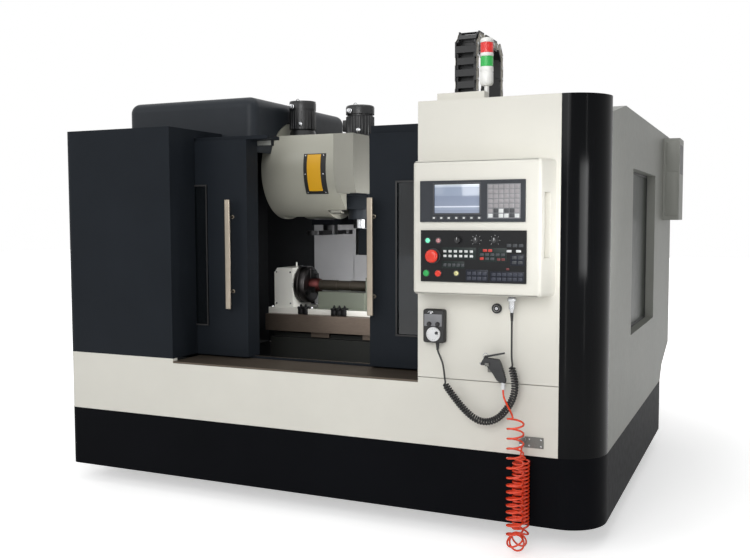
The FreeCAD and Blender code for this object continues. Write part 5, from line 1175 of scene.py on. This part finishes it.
class MACHINE_OT_rotary(bpy.types.Operator):
    """Rotary table's chuck with its work, tailstock fittings and fixture clamps"""
    bl_idname = "machine.rotary"
    bl_label = "Rotary table"

    def execute(self, context):
        y, z, face, front = 905, 1100, 1028.3, 1098.3
        with piece("chuck_body", "dark_steel", "dark_steel", body="chuck", stands_for="rotary_chuck") as bm:
            turned(bm, "x", face, y, z, [
                (-59, 45), (0, 45), (0, 104), (4, 110), (8, 112), (24, 112), (27, 109), (30, 109), (33, 112),
                (60, 112), (68, 106), (70, 98), (70, 50), (66, 46), (66, 0)], steps=64)
            for index in range(3):
                first = set(bm.verts)
                block(bm, front - 6, front + 3, y - 17, y + 17, z + 30, z + 104, 1.5)
                spun(bm, first, (front, y, z), math.radians(-120 * index), "X")
        with piece("chuck_jaws", "jaw_steel", "dark_steel", body="chuck") as bm:
            for index in range(3):
                first = set(bm.verts)
                block(bm, front + 2, front + 24, y - 13, y + 13, z + 36, z + 92, 2)
                block(bm, front + 20, front + 42, y - 13, y + 13, z + 41, z + 70, 2)
                spun(bm, first, (front, y, z), math.radians(-120 * index), "X")
        with piece("chuck_blank", "blank_red", "dark_steel", body="chuck") as bm:
            turned(bm, "x", front - 4, y, z, [(0, 41), (50, 41), (54, 38), (64, 38), (66, 34)], steps=40)
        with piece("chuck_bar", "bar_steel", "dark_steel", body="chuck") as bm:
            turned(bm, "x", front + 60, y, z, [
                (0, 32), (120, 32), (122, 29), (210, 29), (212, 32), (314, 32), (321, 22)], steps=36)
        with piece("rotary_ring_and_bolts", "bright_steel", "bright_steel", body="table") as bm:
            turned(bm, "x", 1024, y, z, [(0, 116), (2.2, 116), (4, 114), (4, 108)], steps=56)
            screws(bm, "-y", [(x, 789.7, level) for x in (916, 1012) for level in (990, 1180)], 12, 4)
            screws(bm, "z", [(x, py, 966) for x in (884, 1072) for py in (790, 1020)], 22, 9)
            screws(bm, "z", [(x, py, 966) for x in (1160, 1570) for py in (784, 1026)], 22, 9)
        with piece("fixture_clamps", "jaw_steel", "dark_steel", body="table") as bm:
            for x in (1097, 1129, 1320, 1354, 1388):
                block(bm, x - 16, x + 16, 752, 800, 930, 964, 4)
                block(bm, x - 13, x + 13, 742, 796, 964, 976, 3)
                turned(bm, "z", x, 768, 976, [(0, 9), (9, 9), (10, 5), (16, 5)], steps=6)
        with piece("tail_base_strip", "white_paint", "white_paint", body="table") as bm:
            low = extent("tailstock")
            block(bm, low[0] + 0.5, low[1] - 0.5, low[2] - 1.6, low[2] + 2, 931, 964.5, 1.2)
        return {"FINISHED"}


class MACHINE_OT_side(bpy.types.Operator):
    """Panels and louvres of the heat exchanger, and the side window's gasket"""
    bl_idname = "machine.side"
    bl_label = "Right side"

    def execute(self, context):
        x0, x1, y0, y1, z0, z1 = extent("heat_exchanger")
        # The exchanger's panels take the greyer side paint: painted shade over the cream.
        with piece("exchanger_panels", "shaded_side_paint", "cream_paint") as bm:
            block(bm, x0 + 16, x1 - 12, y0 - 1.6, y0 + 1, z0 + 26, z0 + 0.58 * (z1 - z0), 1.2)
            block(bm, x0 + 16, x1 - 12, y0 - 1.6, y0 + 1, z0 + 0.6 * (z1 - z0), z1 - 22, 1.2)
            screws(bm, "-y", [(x, y0 - 1.6, z) for x in (x0 + 24, x1 - 20) for z in (z0 + 36, z1 - 32)], 7,
                   1.4)
        middle, high = (y0 + y1) / 2, z1 - 40
        with piece("exchanger_louvres", "black_plastic") as bm:
            block(bm, x1 - 1, x1 + 0.2, y0 + 30, y1 - 30, high - 190, high)
            for index in range(12):
                first = set(bm.verts)
                level = high - 14 - 15 * index
                block(bm, x1 - 2, x1 + 0.8, y0 + 36, y1 - 36, level - 1, level + 1)
                spun(bm, first, (x1 - 0.4, middle, level), math.radians(38), "Y")
        x0, x1, y0, y1, z0, z1 = extent("side_window")
        with piece("side_window_gasket", "gasket", "window_glass") as bm:
            for a, b, c, d in ((y0, y1, z0, z0 + 14), (y0, y1, z1 - 14, z1), (y0, y0 + 14, z0, z1),
                               (y1 - 14, y1, z0, z1)):
                block(bm, x1 - 1, x1 + 3.5, a, b, c, d, 1.0)
        return {"FINISHED"}


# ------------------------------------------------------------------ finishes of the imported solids
class MACHINE_OT_finishes(bpy.types.Operator):
    """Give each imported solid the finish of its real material"""
    bl_idname = "machine.finishes"
    bl_label = "Finishes"

    def execute(self, context):
        slots = {part["node"]: part["material_slot"] for part in frame["record"]["subparts"]}
        special = {"side_window": "frosted_glass", "magazine_cover": "shaded_drum_paint", "head_cover": "shaded_head_paint",
                   "door_rails": "blue_black_paint", "tailstock": "clamp_grey", "saddle": "shaded_saddle_paint",
                   "headstock": "hood_paint", "change_arm": "jaw_steel", "machine_bed": "shaded_saddle_paint",
                   "interior_guards": "shaded_inside_paint", "rear_left_hood": "hood_paint",
                   "right_side_cover": "shaded_side_paint", "heat_exchanger": "shaded_side_paint",
                   "hose_bracket": "zinc_plate"}
        for name in frame["nodes"]:
            solid = bpy.data.objects.get(name)
            if solid is None:
                raise RuntimeError("no packed solid named " + name)
            finish = special.get(name, slots[name])
            if finish == "signal_lens":
                finish = "lens_white"
            solid.data.materials.clear()
            solid.data.materials.append(FINISH[finish])
        return {"FINISHED"}


OPERATORS = (MACHINE_OT_stage, MACHINE_OT_cords, MACHINE_OT_finishes, MACHINE_OT_display,
             MACHINE_OT_panel, MACHINE_OT_buttons, MACHINE_OT_handwheel, MACHINE_OT_air_gun,
             MACHINE_OT_stack_light, MACHINE_OT_chain, MACHINE_OT_doors, MACHINE_OT_motors,
             MACHINE_OT_head, MACHINE_OT_rotary, MACHINE_OT_side)


class MACHINE_PT_panel(bpy.types.Panel):
    """Lists the pieces, the colours and the sizes"""
    bl_idname = "MACHINE_PT_panel"
    bl_label = "Machining center"
    bl_space_type = "VIEW_3D"
    bl_region_type = "UI"
    bl_category = "Machining center"

    def draw(self, context):
        for group in (context.scene.machine_colours, context.scene.machine_sizes):
            for key in group.__annotations__:
                self.layout.prop(group, key)
        for operator in OPERATORS:
            self.layout.operator(operator.bl_idname)


CLASSES = (MachineColours, MachineSizes, *OPERATORS, MACHINE_PT_panel)


def register():
    for item in CLASSES:
        bpy.utils.register_class(item)
    bpy.types.Scene.machine_colours = PointerProperty(type=MachineColours)
    bpy.types.Scene.machine_sizes = PointerProperty(type=MachineSizes)


def unregister():
    del bpy.types.Scene.machine_sizes
    del bpy.types.Scene.machine_colours
    for item in reversed(CLASSES):
        bpy.utils.unregister_class(item)


def main():
    register()
    FINISH.update(make_materials())
    for operator in OPERATORS:
        group, name = operator.bl_idname.split(".")
        getattr(getattr(bpy.ops, group), name)()


if __name__ == "__main__":
    main()
